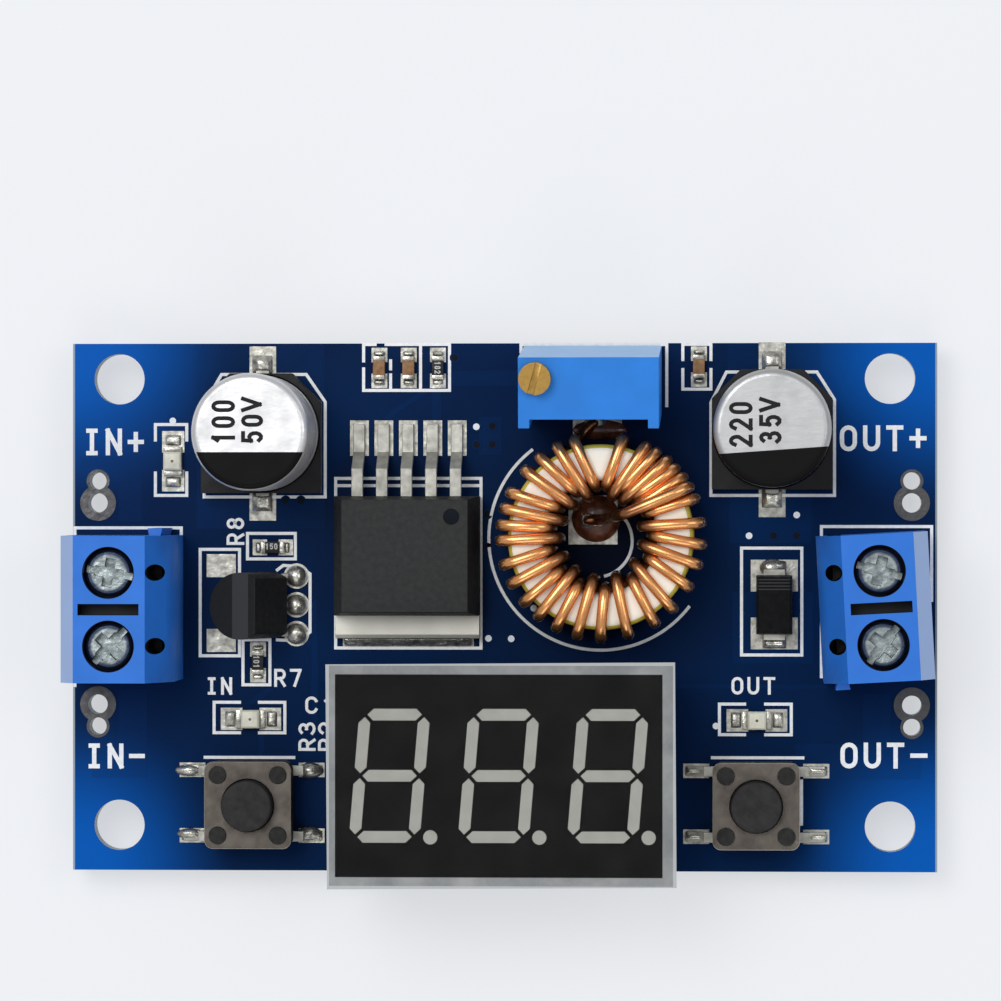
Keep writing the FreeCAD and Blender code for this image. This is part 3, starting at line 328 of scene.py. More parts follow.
ROUND = arc(0.5, 0.7, 0.5, 0.3, 0, 180) + arc(0.5, 0.3, 0.5, 0.3, 180, 360) + [(1, 0.7)]
STROKES = {
    "I": [[(0.2, 1), (0.8, 1)], [(0.5, 1), (0.5, 0)], [(0.2, 0), (0.8, 0)]],
    "N": [[(0, 0), (0, 1), (1, 0), (1, 1)]],
    "O": [ROUND],
    "U": [[(0, 1)] + arc(0.5, 0.3, 0.5, 0.3, 180, 360) + [(1, 1)]],
    "T": [[(0, 1), (1, 1)], [(0.5, 1), (0.5, 0)]],
    "+": [[(0.5, 0.85), (0.5, 0.15)], [(0, 0.5), (1, 0.5)]],
    "-": [[(0, 0.5), (1, 0.5)]],
    "R": [[(0, 0), (0, 1)] + arc(0.6, 0.73, 0.4, 0.27, 90, -90) + [(0, 0.46)], [(0.5, 0.46), (1, 0)]],
    "C": [arc(0.5, 0.7, 0.5, 0.3, 20, 180) + arc(0.5, 0.3, 0.5, 0.3, 180, 340)],
    "V": [[(-0.2, 1), (0.5, 0.08), (1.2, 1)]],
    "0": [ROUND],
    "1": [[(0.2, 0.8), (0.55, 1), (0.55, 0)]],
    "2": [arc(0.5, 0.7, 0.5, 0.3, 160, -20) + [(0, 0), (1, 0)]],
    "3": [arc(0.45, 0.76, 0.45, 0.24, 150, -90), arc(0.45, 0.27, 0.55, 0.27, 90, -150)],
    "5": [[(1, 1), (0.1, 1), (0.05, 0.56)] + arc(0.5, 0.33, 0.5, 0.33, 115, -140)],
    "7": [[(0, 1), (1, 1), (0.4, 0)]],
    "8": [arc(0.5, 0.76, 0.44, 0.24, -90, 270, 12), arc(0.5, 0.27, 0.5, 0.27, 90, 450, 12)],
}


def overrun(before, corner, after, width):
    """How far past a corner a strip's end goes, so that its outer edge meets the next strip's."""
    bend = (Vector(corner) - Vector(before)).angle(Vector(after) - Vector(corner))
    return width / 2 * min(math.tan(bend / 2), 1.0)


def strips_along(runs, width, z0, z1):
    """Strips along runs of places, each a hair higher than the last."""
    strips = []
    for places in runs:
        places = [Vector(place) for place in places]
        corners = [overrun(*places[n - 1:n + 2], width) for n in range(1, len(places) - 1)]
        ends = [width / 2, *corners, width / 2]
        if (places[0] - places[-1]).length < 1e-6 and len(places) > 2:
            ends[0] = ends[-1] = overrun(places[-2], places[0], places[1], width)
        for n, (start, end) in enumerate(zip(places, places[1:])):
            top = z1 + len(strips) % LAYERS * LAYER
            strips.append(bar(start, end, width, z0, top, ends[n], ends[n + 1]))
    return strips


def words(text, middle, width, height, stroke, turn=0.0):
    """Stroke lettering that fills a box, as runs of places."""
    cell = (width + 0.35 * width / len(text)) / len(text)
    letter = cell * 0.74
    cosine, sine = math.cos(math.radians(turn)), math.sin(math.radians(turn))
    runs = []
    for n, sign in enumerate(text):
        left = -width / 2 + n * cell + stroke / 2
        for line in STROKES[sign]:
            places = []
            for u, v in line:
                x = left + u * (letter - stroke)
                y = -height / 2 + stroke / 2 + v * (height - stroke)
                places.append((middle[0] + x * cosine - y * sine, middle[1] + x * sine + y * cosine))
            runs.append(places)
    return runs


# Text, its box in the photograph (left, top, right, bottom) and its turn
LARGE_WORDS = [
    ("IN+", (83.5, 428.5, 142.8, 455.3), 0), ("IN-", (86.0, 744.0, 143.7, 769.0), 0),
    ("OUT+", (839.8, 425.7, 924.6, 451.5), 0), ("OUT-", (840.4, 741.6, 925.5, 767.4), 0),
]
SMALL_WORDS = [
    ("IN", (206.5, 677.5, 232.0, 695.0), 0), ("OUT", (732.0, 676.5, 774.7, 694.0), 0),
    ("R7", (274.8, 669.0, 301.6, 687.0), 0), ("R8", (227.0, 518.5, 244.8, 545.0), 90),
    ("R3", (299.0, 723.0, 316.4, 751.0), 90), ("R2", (318.7, 723.0, 336.0, 751.0), 90),
    ("C1", (306.0, 696.6, 335.0, 714.0), 0),
]

# Printed outlines as runs of corners in the photograph
BOARD_LINES = {
    "input_terminal": [(74.5, 686.0), (74.5, 528.0), (181.5, 528.0), (181.5, 540.0)],
    "output_terminal": [(821.5, 676.0), (821.5, 526.5), (931.0, 526.5), (931.0, 600.0)],
    "input_capacitor": [
        (204.5, 497.0), (204.5, 404.0), (222.0, 374.5), (307.0, 374.5), (326.0, 402.0), (326.0, 497.0),
        (204.5, 497.0)],
    "output_capacitor": [
        (711.5, 495.5), (711.5, 403.0), (727.0, 372.5), (817.0, 372.5), (834.5, 400.0), (834.5, 495.5),
        (711.5, 495.5)],
    "chip": [(336.5, 478.5), (336.5, 648.0), (482.0, 648.0), (482.0, 478.5), (336.5, 478.5)],
    "chip_second_line": [(336.5, 485.7), (482.0, 485.7)],
    "second_regulator": [(200.5, 549.5), (240.0, 549.5), (240.0, 656.0), (200.5, 656.0), (200.5, 549.5)],
    "small_regulator": [(278.0, 570.0), (284.0, 565.5), (300.0, 566.5), (310.8, 574.0), (310.8, 632.0),
                        (300.0, 641.0), (278.0, 640.0)],
    "upper_resistor": [(248.0, 533.5), (296.0, 533.5), (296.0, 559.0), (248.0, 559.0), (248.0, 533.5)],
    "lower_resistor": [(243.5, 640.0), (270.5, 640.0), (270.5, 685.0), (243.5, 685.0), (243.5, 640.0)],
    "chip_part_group": [(376.0, 344.6), (364.5, 344.6), (364.5, 361.0)],
    "chip_part_group_low": [
        (364.5, 369.0), (364.5, 390.5), (450.5, 390.5), (450.5, 344.6), (387.0, 344.6)],
    "group_first_divider": [(391.5, 361.0), (391.5, 369.0)],
    "group_second_divider": [(421.5, 344.6), (421.5, 390.5)],
    "group_low_divider": [(391.5, 375.0), (391.5, 390.5)],
    "right_part_top": [(683.5, 360.0), (683.5, 344.8), (711.5, 344.8), (711.5, 360.0)],
    "right_part_low": [(683.5, 370.0), (683.5, 389.5), (711.5, 389.5), (711.5, 370.0)],
    "power_lamp_top": [(155.5, 440.0), (155.5, 424.5), (187.0, 424.5), (187.0, 440.0)],
    "power_lamp_low": [(155.5, 473.0), (155.5, 495.5), (187.0, 495.5), (187.0, 473.0)],
    "input_lamp_left": [(240.0, 702.5), (214.5, 702.5), (214.5, 733.0), (240.0, 733.0)],
    "input_lamp_right": [(260.0, 702.5), (285.5, 702.5), (285.5, 733.0), (260.0, 733.0)],
    "output_lamp_left": [(745.0, 703.5), (720.0, 703.5), (720.0, 734.0), (745.0, 734.0)],
    "output_lamp_right": [(766.0, 703.5), (791.5, 703.5), (791.5, 734.0), (766.0, 734.0)],
    "left_switch": [(205.5, 757.7), (294.5, 757.7)],
    "right_switch": [(713.0, 757.0), (803.0, 757.0)],
    "right_switch_side": [(801.7, 780.0), (801.7, 823.0)],
    "trimmer": [(522.0, 352.0), (522.0, 345.0), (667.5, 345.0), (667.5, 406.0)],
    "diode": [(742.0, 548.0), (802.0, 548.0), (802.0, 654.5), (742.0, 654.5), (742.0, 548.0)],
}

# Printed circles round the coil: middle, radius in pixels, and the gaps left in them in degrees
COIL_CIRCLES = [((601.4, 538.3), 111.6, 128.0, 322.0), ((597.0, 541.0), 36.0, -75.0, 40.0)]
CIRCLE_STEPS = 72

# Copper under the mask, as corners (left, top, right, bottom) in the photograph
POURS = [
    (80.0, 456.5, 142.0, 467.0), (118.5, 467.0, 142.0, 522.0), (197.0, 344.0, 325.0, 529.0),
    (730.0, 492.0, 812.0, 543.0),
    (733.0, 592.0, 813.0, 663.0), (863.0, 693.0, 890.5, 778.0), (673.0, 684.0, 828.0, 688.0),
    (480.0, 417.0, 502.0, 455.0), (795.0, 743.0, 918.0, 778.0), (118.5, 690.0, 147.0, 778.0),
    (92.0, 741.0, 118.5, 778.0), (890.5, 741.0, 920.0, 778.0),
    (453.0, 371.0, 520.0, 386.0), (728.0, 344.0, 820.0, 480.0), (250.0, 640.0, 318.0, 646.0),
    (312.0, 600.0, 318.0, 700.0), (436.0, 392.0, 442.0, 420.0), (745.0, 770.0, 760.0, 790.0),
]
TRACKS = [
    [(424.0, 393.0), (397.5, 410.0), (388.6, 419.0)], [(436.0, 392.0), (436.0, 424.0)],
    [(270.0, 690.0), (250.0, 704.0)], [(262.0, 757.0), (262.0, 733.0)], [(316.0, 640.0), (316.0, 720.0)],
]

# Small plated holes: the ones that the light comes through, closed by white plugs of painted light, and the dark
# ones, closed by dark plugs of painted shade
LIT_HOLES = [(477.3, 426.9), (489.4, 638.3), (512.2, 638.6), (749.5, 535.7), (796.9, 515.0),
             (716.5, 725.4), (173.0, 420.9), (534.7, 608.0)]
SHADED_HOLES = [(493.3, 426.4), (477.5, 444.7), (493.3, 444.7), (773.8, 535.7), (796.7, 535.7),
              (455.8, 357.9), (488.5, 514.2), (488.9, 546.1), (286.3, 500.7), (301.6, 500.7)]


# How far pieces laid on the board, on a can or on a small part reach into it, and stand above it
BOARD_ROOT = 0.1
PRINT_ROOT = 0.05
PRINT_LIFT = 0.012
TOP_LIFT = 0.004
LUMP_LIFT = 0.03
TRACK_WIDTH = 0.42
EDGE_GAP = 0.05

# Small plated holes: radius and height above the board, of the ring and of the plug that closes it, white for
# painted light and dark for painted shade
HOLE_RING = (0.36, 0.059)
HOLE_PLUG = (0.23, 0.063)


# Finishes

def new_group(name, inputs, outputs):
    group = bpy.data.node_groups.new(name, "ShaderNodeTree")
    for label, kind, value in inputs:
        socket = group.interface.new_socket(label, in_out="INPUT", socket_type=kind)
        if value is not None:
            socket.default_value = value
    for label, kind in outputs:
        group.interface.new_socket(label, in_out="OUTPUT", socket_type=kind)
    return group, group.nodes.new("NodeGroupInput"), group.nodes.new("NodeGroupOutput")


def build_groups():
    """Mottled colour and roughness, and fine relief, which every finish draws on."""
    group, start, end = new_group("Mottle", [
        ("Vector", "NodeSocketVector", None), ("Scale", "NodeSocketFloat", 500.0),
        ("First", "NodeSocketColor", (1, 1, 1, 1)), ("Second", "NodeSocketColor", (0, 0, 0, 1)),
        ("Low roughness", "NodeSocketFloat", 0.3), ("High roughness", "NodeSocketFloat", 0.5),
    ], [("Color", "NodeSocketColor"), ("Roughness", "NodeSocketFloat")])
    noise = group.nodes.new("ShaderNodeTexNoise")
    noise.inputs["Detail"].default_value = 4
    spread = group.nodes.new("ShaderNodeMapRange")
    ranged = group.nodes.new("ShaderNodeMapRange")
    blend = group.nodes.new("ShaderNodeMix")
    blend.data_type = "RGBA"
    link = group.links.new
    link(start.outputs["Vector"], noise.inputs["Vector"])
    link(start.outputs["Scale"], noise.inputs["Scale"])
    for stretcher in (spread, ranged):
        stretcher.inputs["From Min"].default_value = 0.3
        stretcher.inputs["From Max"].default_value = 0.7
        link(noise.outputs["Fac"], stretcher.inputs["Value"])
    link(start.outputs["First"], blend.inputs["A"])
    link(start.outputs["Second"], blend.inputs["B"])
    link(spread.outputs["Result"], blend.inputs["Factor"])
    link(start.outputs["Low roughness"], ranged.inputs["To Min"])
    link(start.outputs["High roughness"], ranged.inputs["To Max"])
    link(blend.outputs["Result"], end.inputs["Color"])
    link(ranged.outputs["Result"], end.inputs["Roughness"])

    group, start, end = new_group("Relief", [
        ("Vector", "NodeSocketVector", None), ("Scale", "NodeSocketFloat", 4000.0),
        ("Stretch", "NodeSocketVector", (1, 1, 1)),
    ], [("Height", "NodeSocketFloat")])
    stretch = group.nodes.new("ShaderNodeVectorMath")
    stretch.operation = "MULTIPLY"
    noise = group.nodes.new("ShaderNodeTexNoise")
    noise.inputs["Detail"].default_value = 5
    link = group.links.new
    link(start.outputs["Vector"], stretch.inputs[0])
    link(start.outputs["Stretch"], stretch.inputs[1])
    link(stretch.outputs[0], noise.inputs["Vector"])
    link(start.outputs["Scale"], noise.inputs["Scale"])
    link(noise.outputs["Fac"], end.inputs["Height"])


class Finish:
    """A material whose colour, roughness and relief come from the shared groups."""

    def __init__(self, name, first, second, rough, metallic=0.0, mottle=900.0, relief=4000.0,
                 stretch=(1, 1, 1), bump=0.15, depth=0.02, coat=0.0, specular=0.5):
        self.made = bpy.data.materials.new(name)
        self.made.use_nodes = True
        self.tree = self.made.node_tree
        self.shader = self.tree.nodes["Principled BSDF"]
        source = self.node("ShaderNodeTexCoord")
        self.place = source.outputs["Object"]
        self.facing = source.outputs["Normal"]
        mottled = self.node("ShaderNodeGroup")
        mottled.node_tree = bpy.data.node_groups["Mottle"]
        values = {"Scale": mottle, "First": (*first, 1), "Second": (*second, 1),
                  "Low roughness": rough[0], "High roughness": rough[1]}
        for key, value in values.items():
            mottled.inputs[key].default_value = value
        grain = self.node("ShaderNodeGroup")
        grain.node_tree = bpy.data.node_groups["Relief"]
        grain.inputs["Scale"].default_value = relief
        grain.inputs["Stretch"].default_value = stretch
        lift = self.node("ShaderNodeBump")
        lift.inputs["Strength"].default_value = bump
        lift.inputs["Distance"].default_value = depth * MM
        self.link(self.place, mottled.inputs["Vector"])
        self.link(self.place, grain.inputs["Vector"])
        self.link(grain.outputs["Height"], lift.inputs["Height"])
        self.link(lift.outputs["Normal"], self.shader.inputs["Normal"])
        self.link(mottled.outputs["Roughness"], self.shader.inputs["Roughness"])
        self.tint = mottled.outputs["Color"]
        self.link(self.tint, self.shader.inputs["Base Color"])
        self.shader.inputs["Metallic"].default_value = metallic
        self.shader.inputs["Coat Weight"].default_value = coat
        self.shader.inputs["Specular IOR Level"].default_value = specular
        finishes[name] = self.made

    def node(self, kind):
        return self.tree.nodes.new(kind)

    def link(self, start, end):
        self.tree.links.new(start, end)

    def maths(self, operation, *values):
        """A math node on sockets or plain numbers."""
        step = self.node("ShaderNodeMath")
        step.operation = operation
        for n, value in enumerate(values):
            if isinstance(value, (int, float)):
                step.inputs[n].default_value = value
            else:
                self.link(value, step.inputs[n])
        return step.outputs[0]

    def parts(self, vector):
        """The three parts of the place or of the facing."""
        split = self.node("ShaderNodeSeparateXYZ")
        self.link(vector, split.inputs[0])
        return split.outputs

    def millimetres(self):
        return [self.maths("DIVIDE", part, MM) for part in self.parts(self.place)]

    def between(self, value, low, high):
        """1 where a value lies in a range, else 0."""
        above = self.maths("GREATER_THAN", value, low)
        return self.maths("MULTIPLY", above, self.maths("LESS_THAN", value, high))

    def ramp(self, value, start, end):
        """0 to 1, eased, as a value goes from start to end."""
        eased = self.node("ShaderNodeMapRange")
        eased.interpolation_type = "SMOOTHSTEP"
        self.link(value, eased.inputs["Value"])
        eased.inputs["From Min"].default_value = start
        eased.inputs["From Max"].default_value = end
        return eased.outputs["Result"]

    def away(self, x, y):
        """Distance in millimetres from an upright axis."""
        east, north, _ = self.millimetres()
        east = self.maths("POWER", self.maths("SUBTRACT", east, x), 2.0)
        north = self.maths("POWER", self.maths("SUBTRACT", north, y), 2.0)
        return self.maths("SQRT", self.maths("ADD", east, north))

    def nearest(self, places):
        distance = self.away(*places[0])
        for place in places[1:]:
            distance = self.maths("MINIMUM", distance, self.away(*place))
        return distance

    def paint(self, mask, rgb, share=1.0):
        """Another colour where the mask is 1."""
        blend = self.node("ShaderNodeMix")
        blend.data_type = "RGBA"
        self.link(self.maths("MULTIPLY", mask, share), blend.inputs["Factor"])
        self.link(self.tint, blend.inputs["A"])
        blend.inputs["B"].default_value = (*rgb, 1)
        self.tint = blend.outputs["Result"]
        self.link(self.tint, self.shader.inputs["Base Color"])

    def dull(self, mask, metallic):
        """Metal, except where the mask is 1."""
        self.link(self.maths("SUBTRACT", metallic, self.maths("MULTIPLY", mask, metallic)),
                  self.shader.inputs["Metallic"])


def toned(rgb, share):
    """The colour, darker or lighter by a factor."""
    return tuple(v * share for v in rgb)


def middle_of(node):
    low, high = (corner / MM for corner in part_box(node))
    return (low.x + high.x) / 2, (low.y + high.y) / 2


# Where the mask turns from dark to bright, as distances from the back and from the front corners
BRIGHT_FROM = 1.5
BRIGHT_REACH_BACK = 12.4
BRIGHT_REACH_FRONT = 11.6
# Painted shade on the mask inside the coil: where it starts and where it is full
COIL_PAINTED_SHADE = (4.2, 3.4)
EDGE_BAND = 0.13

# The dark pads of the wire holes: how far out, and the rows' distances from their middle
WIRE_PADS_FROM = 26.3
WIRE_PADS_MIDDLE = 0.1
WIRE_PADS_ROWS = (5.3, 10.0)

# The terminals: clamp screws, their wells, the probe holes and the slot between the screws, with painted shade
# in the wells, the probe holes and the slot
TERMINAL_SCREWS = [side + row + "_clamp_screw" for side in ("input", "output") for row in ("_back", "_front")]
SCREW_TO_PROBE = 3.07
OUTPUT_TURN = 3.0
WELL_RADIUS = 1.77
PROBE_RADIUS = 0.56
CONTACT_SHADE_RADIUS = 0.6
SLOT_INPUT_X = (-28.55, -24.3)
SLOT_OUTPUT_X = (23.7, 28.3)
SLOT_Y = (-0.8, 0.3)
SLOT_DEPTH = (2.1, 0.08)
# The screws' rims take a painted reflection of the dark blue wells, from these radii and down to this depth
# under their top
SCREW_RIM = (1.08, 1.3)
SCREW_FACE_DEPTH = 0.4

# Each can: the dark mark's distance from the middle and its tilt in degrees, its reach, and the metal's tone
CAN_MARKS = {"input": (1.37, 0.0, 3.88, 1.22), "output": (1.5, 4.0, 4.4, 0.88)}
MARK_DEPTH = 0.42

# The regulator's flat between its rounded back and its front, in the photograph's pixels, where a painted
# highlight lies
REGULATOR_LIT_FLAT = (239.3, 255.7)

# The diode's ribs: how close they lie, how wide they are and how far they go from its back end
RIB_WAVES = 28.0
RIB_SHARE = 0.35
RIB_REACH = 1.15

# The coil: where the wire turns dark at the core's inner and outer edge, and the width of the core's rim
WIRE_SHADES = ((4.3, 3.0), (6.6, 7.5))
CORE_RIM = 0.26

# The film: its rim of painted highlight, how far it is clear over the face, and how much shows of it
FILM_RIM = 0.24
FACE_MARGIN = 0.05
FILM_ALPHA = 0.8
FILM_ALPHA_LOST = 0.765


def probe_places():
    """Where the probe holes stand, inwards of the clamp screws."""
    places = []
    for node in TERMINAL_SCREWS:
        x, y = middle_of(node)
        turn = math.radians(OUTPUT_TURN + 180) if x > 0 else 0
        places.append((x + SCREW_TO_PROBE * math.cos(turn), y + SCREW_TO_PROBE * math.sin(turn)))
    return places


def build_mask_finish(name, rgb, bright):
    """Solder mask, brighter towards the corners."""
    mask = Finish(name, rgb, toned(rgb, 0.75), (0.25, 0.38), mottle=110, relief=900, bump=0.04, specular=0.03)
    for x in (BOARD_LOW.x, BOARD_HIGH.x):
        for y, reach in ((BOARD_HIGH.y, BRIGHT_REACH_BACK), (BOARD_LOW.y, BRIGHT_REACH_FRONT)):
            mask.paint(mask.ramp(mask.away(x, y), reach, BRIGHT_FROM), bright)
    return mask


def build_board_finishes(c):
    board = build_mask_finish("solder_mask", c.mask_dark, c.mask_bright)
    # Painted shade on the mask inside the coil
    x, y = middle_of("coil_core")
    board.paint(board.ramp(board.away(x, y), *COIL_PAINTED_SHADE), toned(c.mask_dark, 0.25))
    east = board.maths("ABSOLUTE", board.millimetres()[0])
    board.paint(board.maths("GREATER_THAN", east, BOARD_HIGH.x - EDGE_BAND), c.board_edge, 0.75)
    upright = board.maths("ABSOLUTE", board.parts(board.facing)[2])
    board.paint(board.maths("LESS_THAN", upright, 0.5), c.board_edge)
    build_mask_finish("mask_over_copper", toned(c.mask_dark, 1.22), toned(c.mask_bright, 0.8))
    Finish("board_print", c.print_white, toned(c.print_white, 0.86), (0.5, 0.65), mottle=3000, bump=0.1)
    # Painted shade for the dark holes and the chip's dent, and painted light for the holes the light comes
    # through
    Finish("shaded_hollow", shade(8, 14, 26), shade(4, 8, 16), (0.5, 0.6), specular=0.1)
    Finish("lit_hole", shade(246, 250, 252), shade(232, 240, 244), (0.6, 0.7))
    pads = Finish("tinned_copper", c.tin, toned(c.tin, 0.42), (0.28, 0.5), 0.6, mottle=2200, relief=3000,
                  bump=0.5, depth=0.05)
    east, north, _ = pads.millimetres()
    beyond = pads.maths("GREATER_THAN", pads.maths("ABSOLUTE", east), WIRE_PADS_FROM)
    row = pads.between(pads.maths("ABSOLUTE", pads.maths("ADD", north, WIRE_PADS_MIDDLE)), *WIRE_PADS_ROWS)
    pads.paint(pads.maths("MULTIPLY", beyond, row), shade(58, 58, 62), 0.92)
    Finish("lead_tin", toned(c.tin, 0.84), toned(c.tin, 0.5), (0.36, 0.55), 0.6, mottle=1400, relief=2400,
           bump=0.4, depth=0.03)
    Finish("tab_tin", toned(c.tin, 1.25), toned(c.tin, 1.12), (0.45, 0.58), 0.4, mottle=300, relief=5000,
           bump=0.1)
    Finish("solder", toned(c.tin, 1.2), toned(c.tin, 0.3), (0.2, 0.42), 0.85, mottle=1900, relief=1300,
           bump=0.8, depth=0.12)
    Finish("flux", shade(132, 78, 54), shade(66, 32, 22), (0.12, 0.28), mottle=1500, relief=1400, bump=0.5,
           coat=0.3)


def build_terminal_finishes(c):
    blue = Finish("terminal_plastic", c.terminal_blue, toned(c.terminal_blue, 0.88), (0.42, 0.55), mottle=350,
                  relief=5000, bump=0.1, specular=0.3)
    east, north, up = blue.millimetres()
    # Painted highlight on the chamfers that face outwards
    outward = blue.maths("MULTIPLY", blue.parts(blue.facing)[0], blue.maths("SIGN", east))
    blue.paint(blue.between(outward, 0.45, 0.97), shade(164, 184, 216), 0.8)
    screws = [middle_of(node) for node in TERMINAL_SCREWS]
    # Painted shade in the screws' wells
    blue.paint(blue.maths("LESS_THAN", blue.nearest(screws), WELL_RADIUS), shade(12, 30, 66))
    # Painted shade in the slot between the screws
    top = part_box("input_terminal_housing")[1].z / MM
    slot = blue.maths("ADD", blue.between(east, *SLOT_INPUT_X), blue.between(east, *SLOT_OUTPUT_X))
    slot = blue.maths("MULTIPLY", slot, blue.between(north, *SLOT_Y))
    slot = blue.maths("MULTIPLY", slot, blue.between(up, *(top - depth for depth in SLOT_DEPTH)))
    blue.paint(slot, shade(6, 9, 16))
    # Painted shade in the probe holes
    blue.paint(blue.maths("LESS_THAN", blue.nearest(probe_places()), PROBE_RADIUS), shade(5, 8, 18))
    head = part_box(TERMINAL_SCREWS[0])[1].z / MM
    screw = Finish("screw_steel", shade(160, 170, 170), shade(104, 112, 116), (0.3, 0.5), 0.85, mottle=1700,
                   relief=2200, bump=0.8, depth=0.07)
    # Painted reflection of the dark blue wells on the screws' rims
    rim = screw.ramp(screw.nearest(screws), *SCREW_RIM)
    face = screw.maths("GREATER_THAN", screw.millimetres()[2], head - SCREW_FACE_DEPTH)
    screw.paint(screw.maths("MULTIPLY", rim, face), shade(30, 44, 74), 0.92)
    Finish("cage_steel", shade(190, 190, 186), shade(150, 150, 146), (0.3, 0.45), 1.0)
    contact = Finish("tinned_brass", c.tin, toned(c.tin, 0.7), (0.3, 0.45), 0.9)
    # Painted shade on the contacts under the probe holes
    contact_shade = contact.maths("LESS_THAN", contact.nearest(probe_places()), CONTACT_SHADE_RADIUS)
    contact.paint(contact_shade, shade(14, 14, 16), 0.95)


def build_capacitor_finishes(c):
    Finish("base_plastic", shade(22, 22, 24), shade(13, 13, 15), (0.45, 0.55), mottle=800, relief=6000,
           bump=0.2, specular=0.25)
    Finish("value_black", shade(24, 24, 25), shade(16, 16, 17), (0.5, 0.6), mottle=2500, bump=0.1,
           specular=0.2)
    for side, (chord, tilt, reach, light) in CAN_MARKS.items():
        can = Finish(side + "_can", toned(c.can_silver, light), toned(c.can_silver, 0.82 * light), (0.34, 0.52),
                     0.8, mottle=650, relief=1300, stretch=(1, 2.2, 1), bump=0.4, depth=0.03, specular=0.05)
        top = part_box(side + "_capacitor_can")[1].z / MM
        x, y = middle_of(side + "_capacitor_can")
        east, north, up = can.millimetres()
        lean = math.radians(tilt)
        across = can.maths("ADD", can.maths("MULTIPLY", can.maths("SUBTRACT", east, x), -math.sin(lean)),
                           can.maths("MULTIPLY", can.maths("SUBTRACT", north, y), math.cos(lean)))
        mark = can.maths("LESS_THAN", across, -chord)
        mark = can.maths("MULTIPLY", mark, can.maths("LESS_THAN", can.away(x, y), reach))
        mark = can.maths("MULTIPLY", mark, can.maths("GREATER_THAN", up, top - MARK_DEPTH))
        can.paint(mark, shade(20, 20, 20))
        can.dull(mark, 0.8)


def build_moulded_finishes(c):
    Finish("chip_epoxy", c.chip_black, toned(c.chip_black, 0.8), (0.5, 0.62), mottle=2500, relief=9000,
           bump=0.5, specular=0.22)
    regulator = Finish("regulator_epoxy", toned(c.chip_black, 0.5), toned(c.chip_black, 0.36), (0.45, 0.6),
                       mottle=2500, relief=7000, bump=0.4, specular=0.2)
    # Painted highlight on the flat between the regulator's rounded back and its front
    flat = regulator.between(regulator.millimetres()[0], *(spot((pixel, 0)).x for pixel in REGULATOR_LIT_FLAT))
    regulator.paint(flat, shade(56, 56, 58), 0.9)
    diode = Finish("diode_epoxy", toned(c.chip_black, 0.35), toned(c.chip_black, 0.25), (0.5, 0.65),
                   mottle=2500, relief=9000, bump=0.3, specular=0.06)
    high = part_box("diode_body")[1].y / MM
    north = diode.millimetres()[1]
    ribs = diode.maths("GREATER_THAN", diode.maths("SINE", diode.maths("MULTIPLY", north, RIB_WAVES)), RIB_SHARE)
    ribs = diode.maths("MULTIPLY", ribs, diode.maths("GREATER_THAN", north, high - RIB_REACH))
    diode.paint(ribs, shade(60, 60, 62))
    Finish("display_face", shade(9, 8, 7), shade(6, 5, 5), (0.6, 0.75), mottle=600, relief=6000, bump=0.1,
           specular=0.02)
    Finish("display_backing", shade(150, 150, 140), shade(120, 120, 112), (0.5, 0.6))
    Finish("segment_resin", c.segment_grey, toned(c.segment_grey, 0.9), (0.45, 0.6), mottle=900, bump=0.05,
           specular=0.2)
    trimmer = Finish("trimmer_plastic", c.trimmer_blue, toned(c.trimmer_blue, 0.88), (0.42, 0.55), mottle=400,
                     relief=5000, bump=0.12, specular=0.3)
    # Painted highlight on the faces that look back
    back = trimmer.ramp(trimmer.parts(trimmer.facing)[1], 0.55, 0.95)
    trimmer.paint(back, shade(160, 198, 236), 0.85)
    Finish("screw_brass", c.brass, toned(c.brass, 0.66), (0.3, 0.45), 0.9, mottle=2500, relief=5000, bump=0.4)
    Finish("wheel_plastic", shade(228, 226, 218), shade(210, 208, 200), (0.45, 0.55))
    Finish("ceramic", shade(232, 228, 218), shade(214, 210, 200), (0.5, 0.6))
    Finish("sealing_resin", shade(60, 120, 190), shade(40, 90, 160), (0.25, 0.4))
    Finish("rivet_plastic", shade(42, 41, 40), shade(30, 29, 28), (0.55, 0.7), mottle=2500, bump=0.3,
           specular=0.2)
    Finish("button_plastic", shade(48, 46, 46), shade(38, 37, 37), (0.6, 0.75), mottle=1800, relief=5000,
           bump=0.5, specular=0.2)
    Finish("resistor_body", shade(26, 26, 28), shade(18, 18, 20), (0.4, 0.5), mottle=3000, bump=0.2,
           specular=0.3)
    Finish("capacitor_body", shade(158, 118, 78), shade(122, 88, 58), (0.45, 0.6), mottle=2500, bump=0.2,
           specular=0.3)
    Finish("led_resin", c.lamp_cream, toned(c.lamp_cream, 0.82), (0.3, 0.45), mottle=1800, bump=0.1)
    Finish("lamp_die", shade(120, 92, 60), shade(80, 60, 40), (0.3, 0.4))
    Finish("number_print", shade(206, 206, 200), shade(180, 180, 176), (0.5, 0.6), mottle=4000)


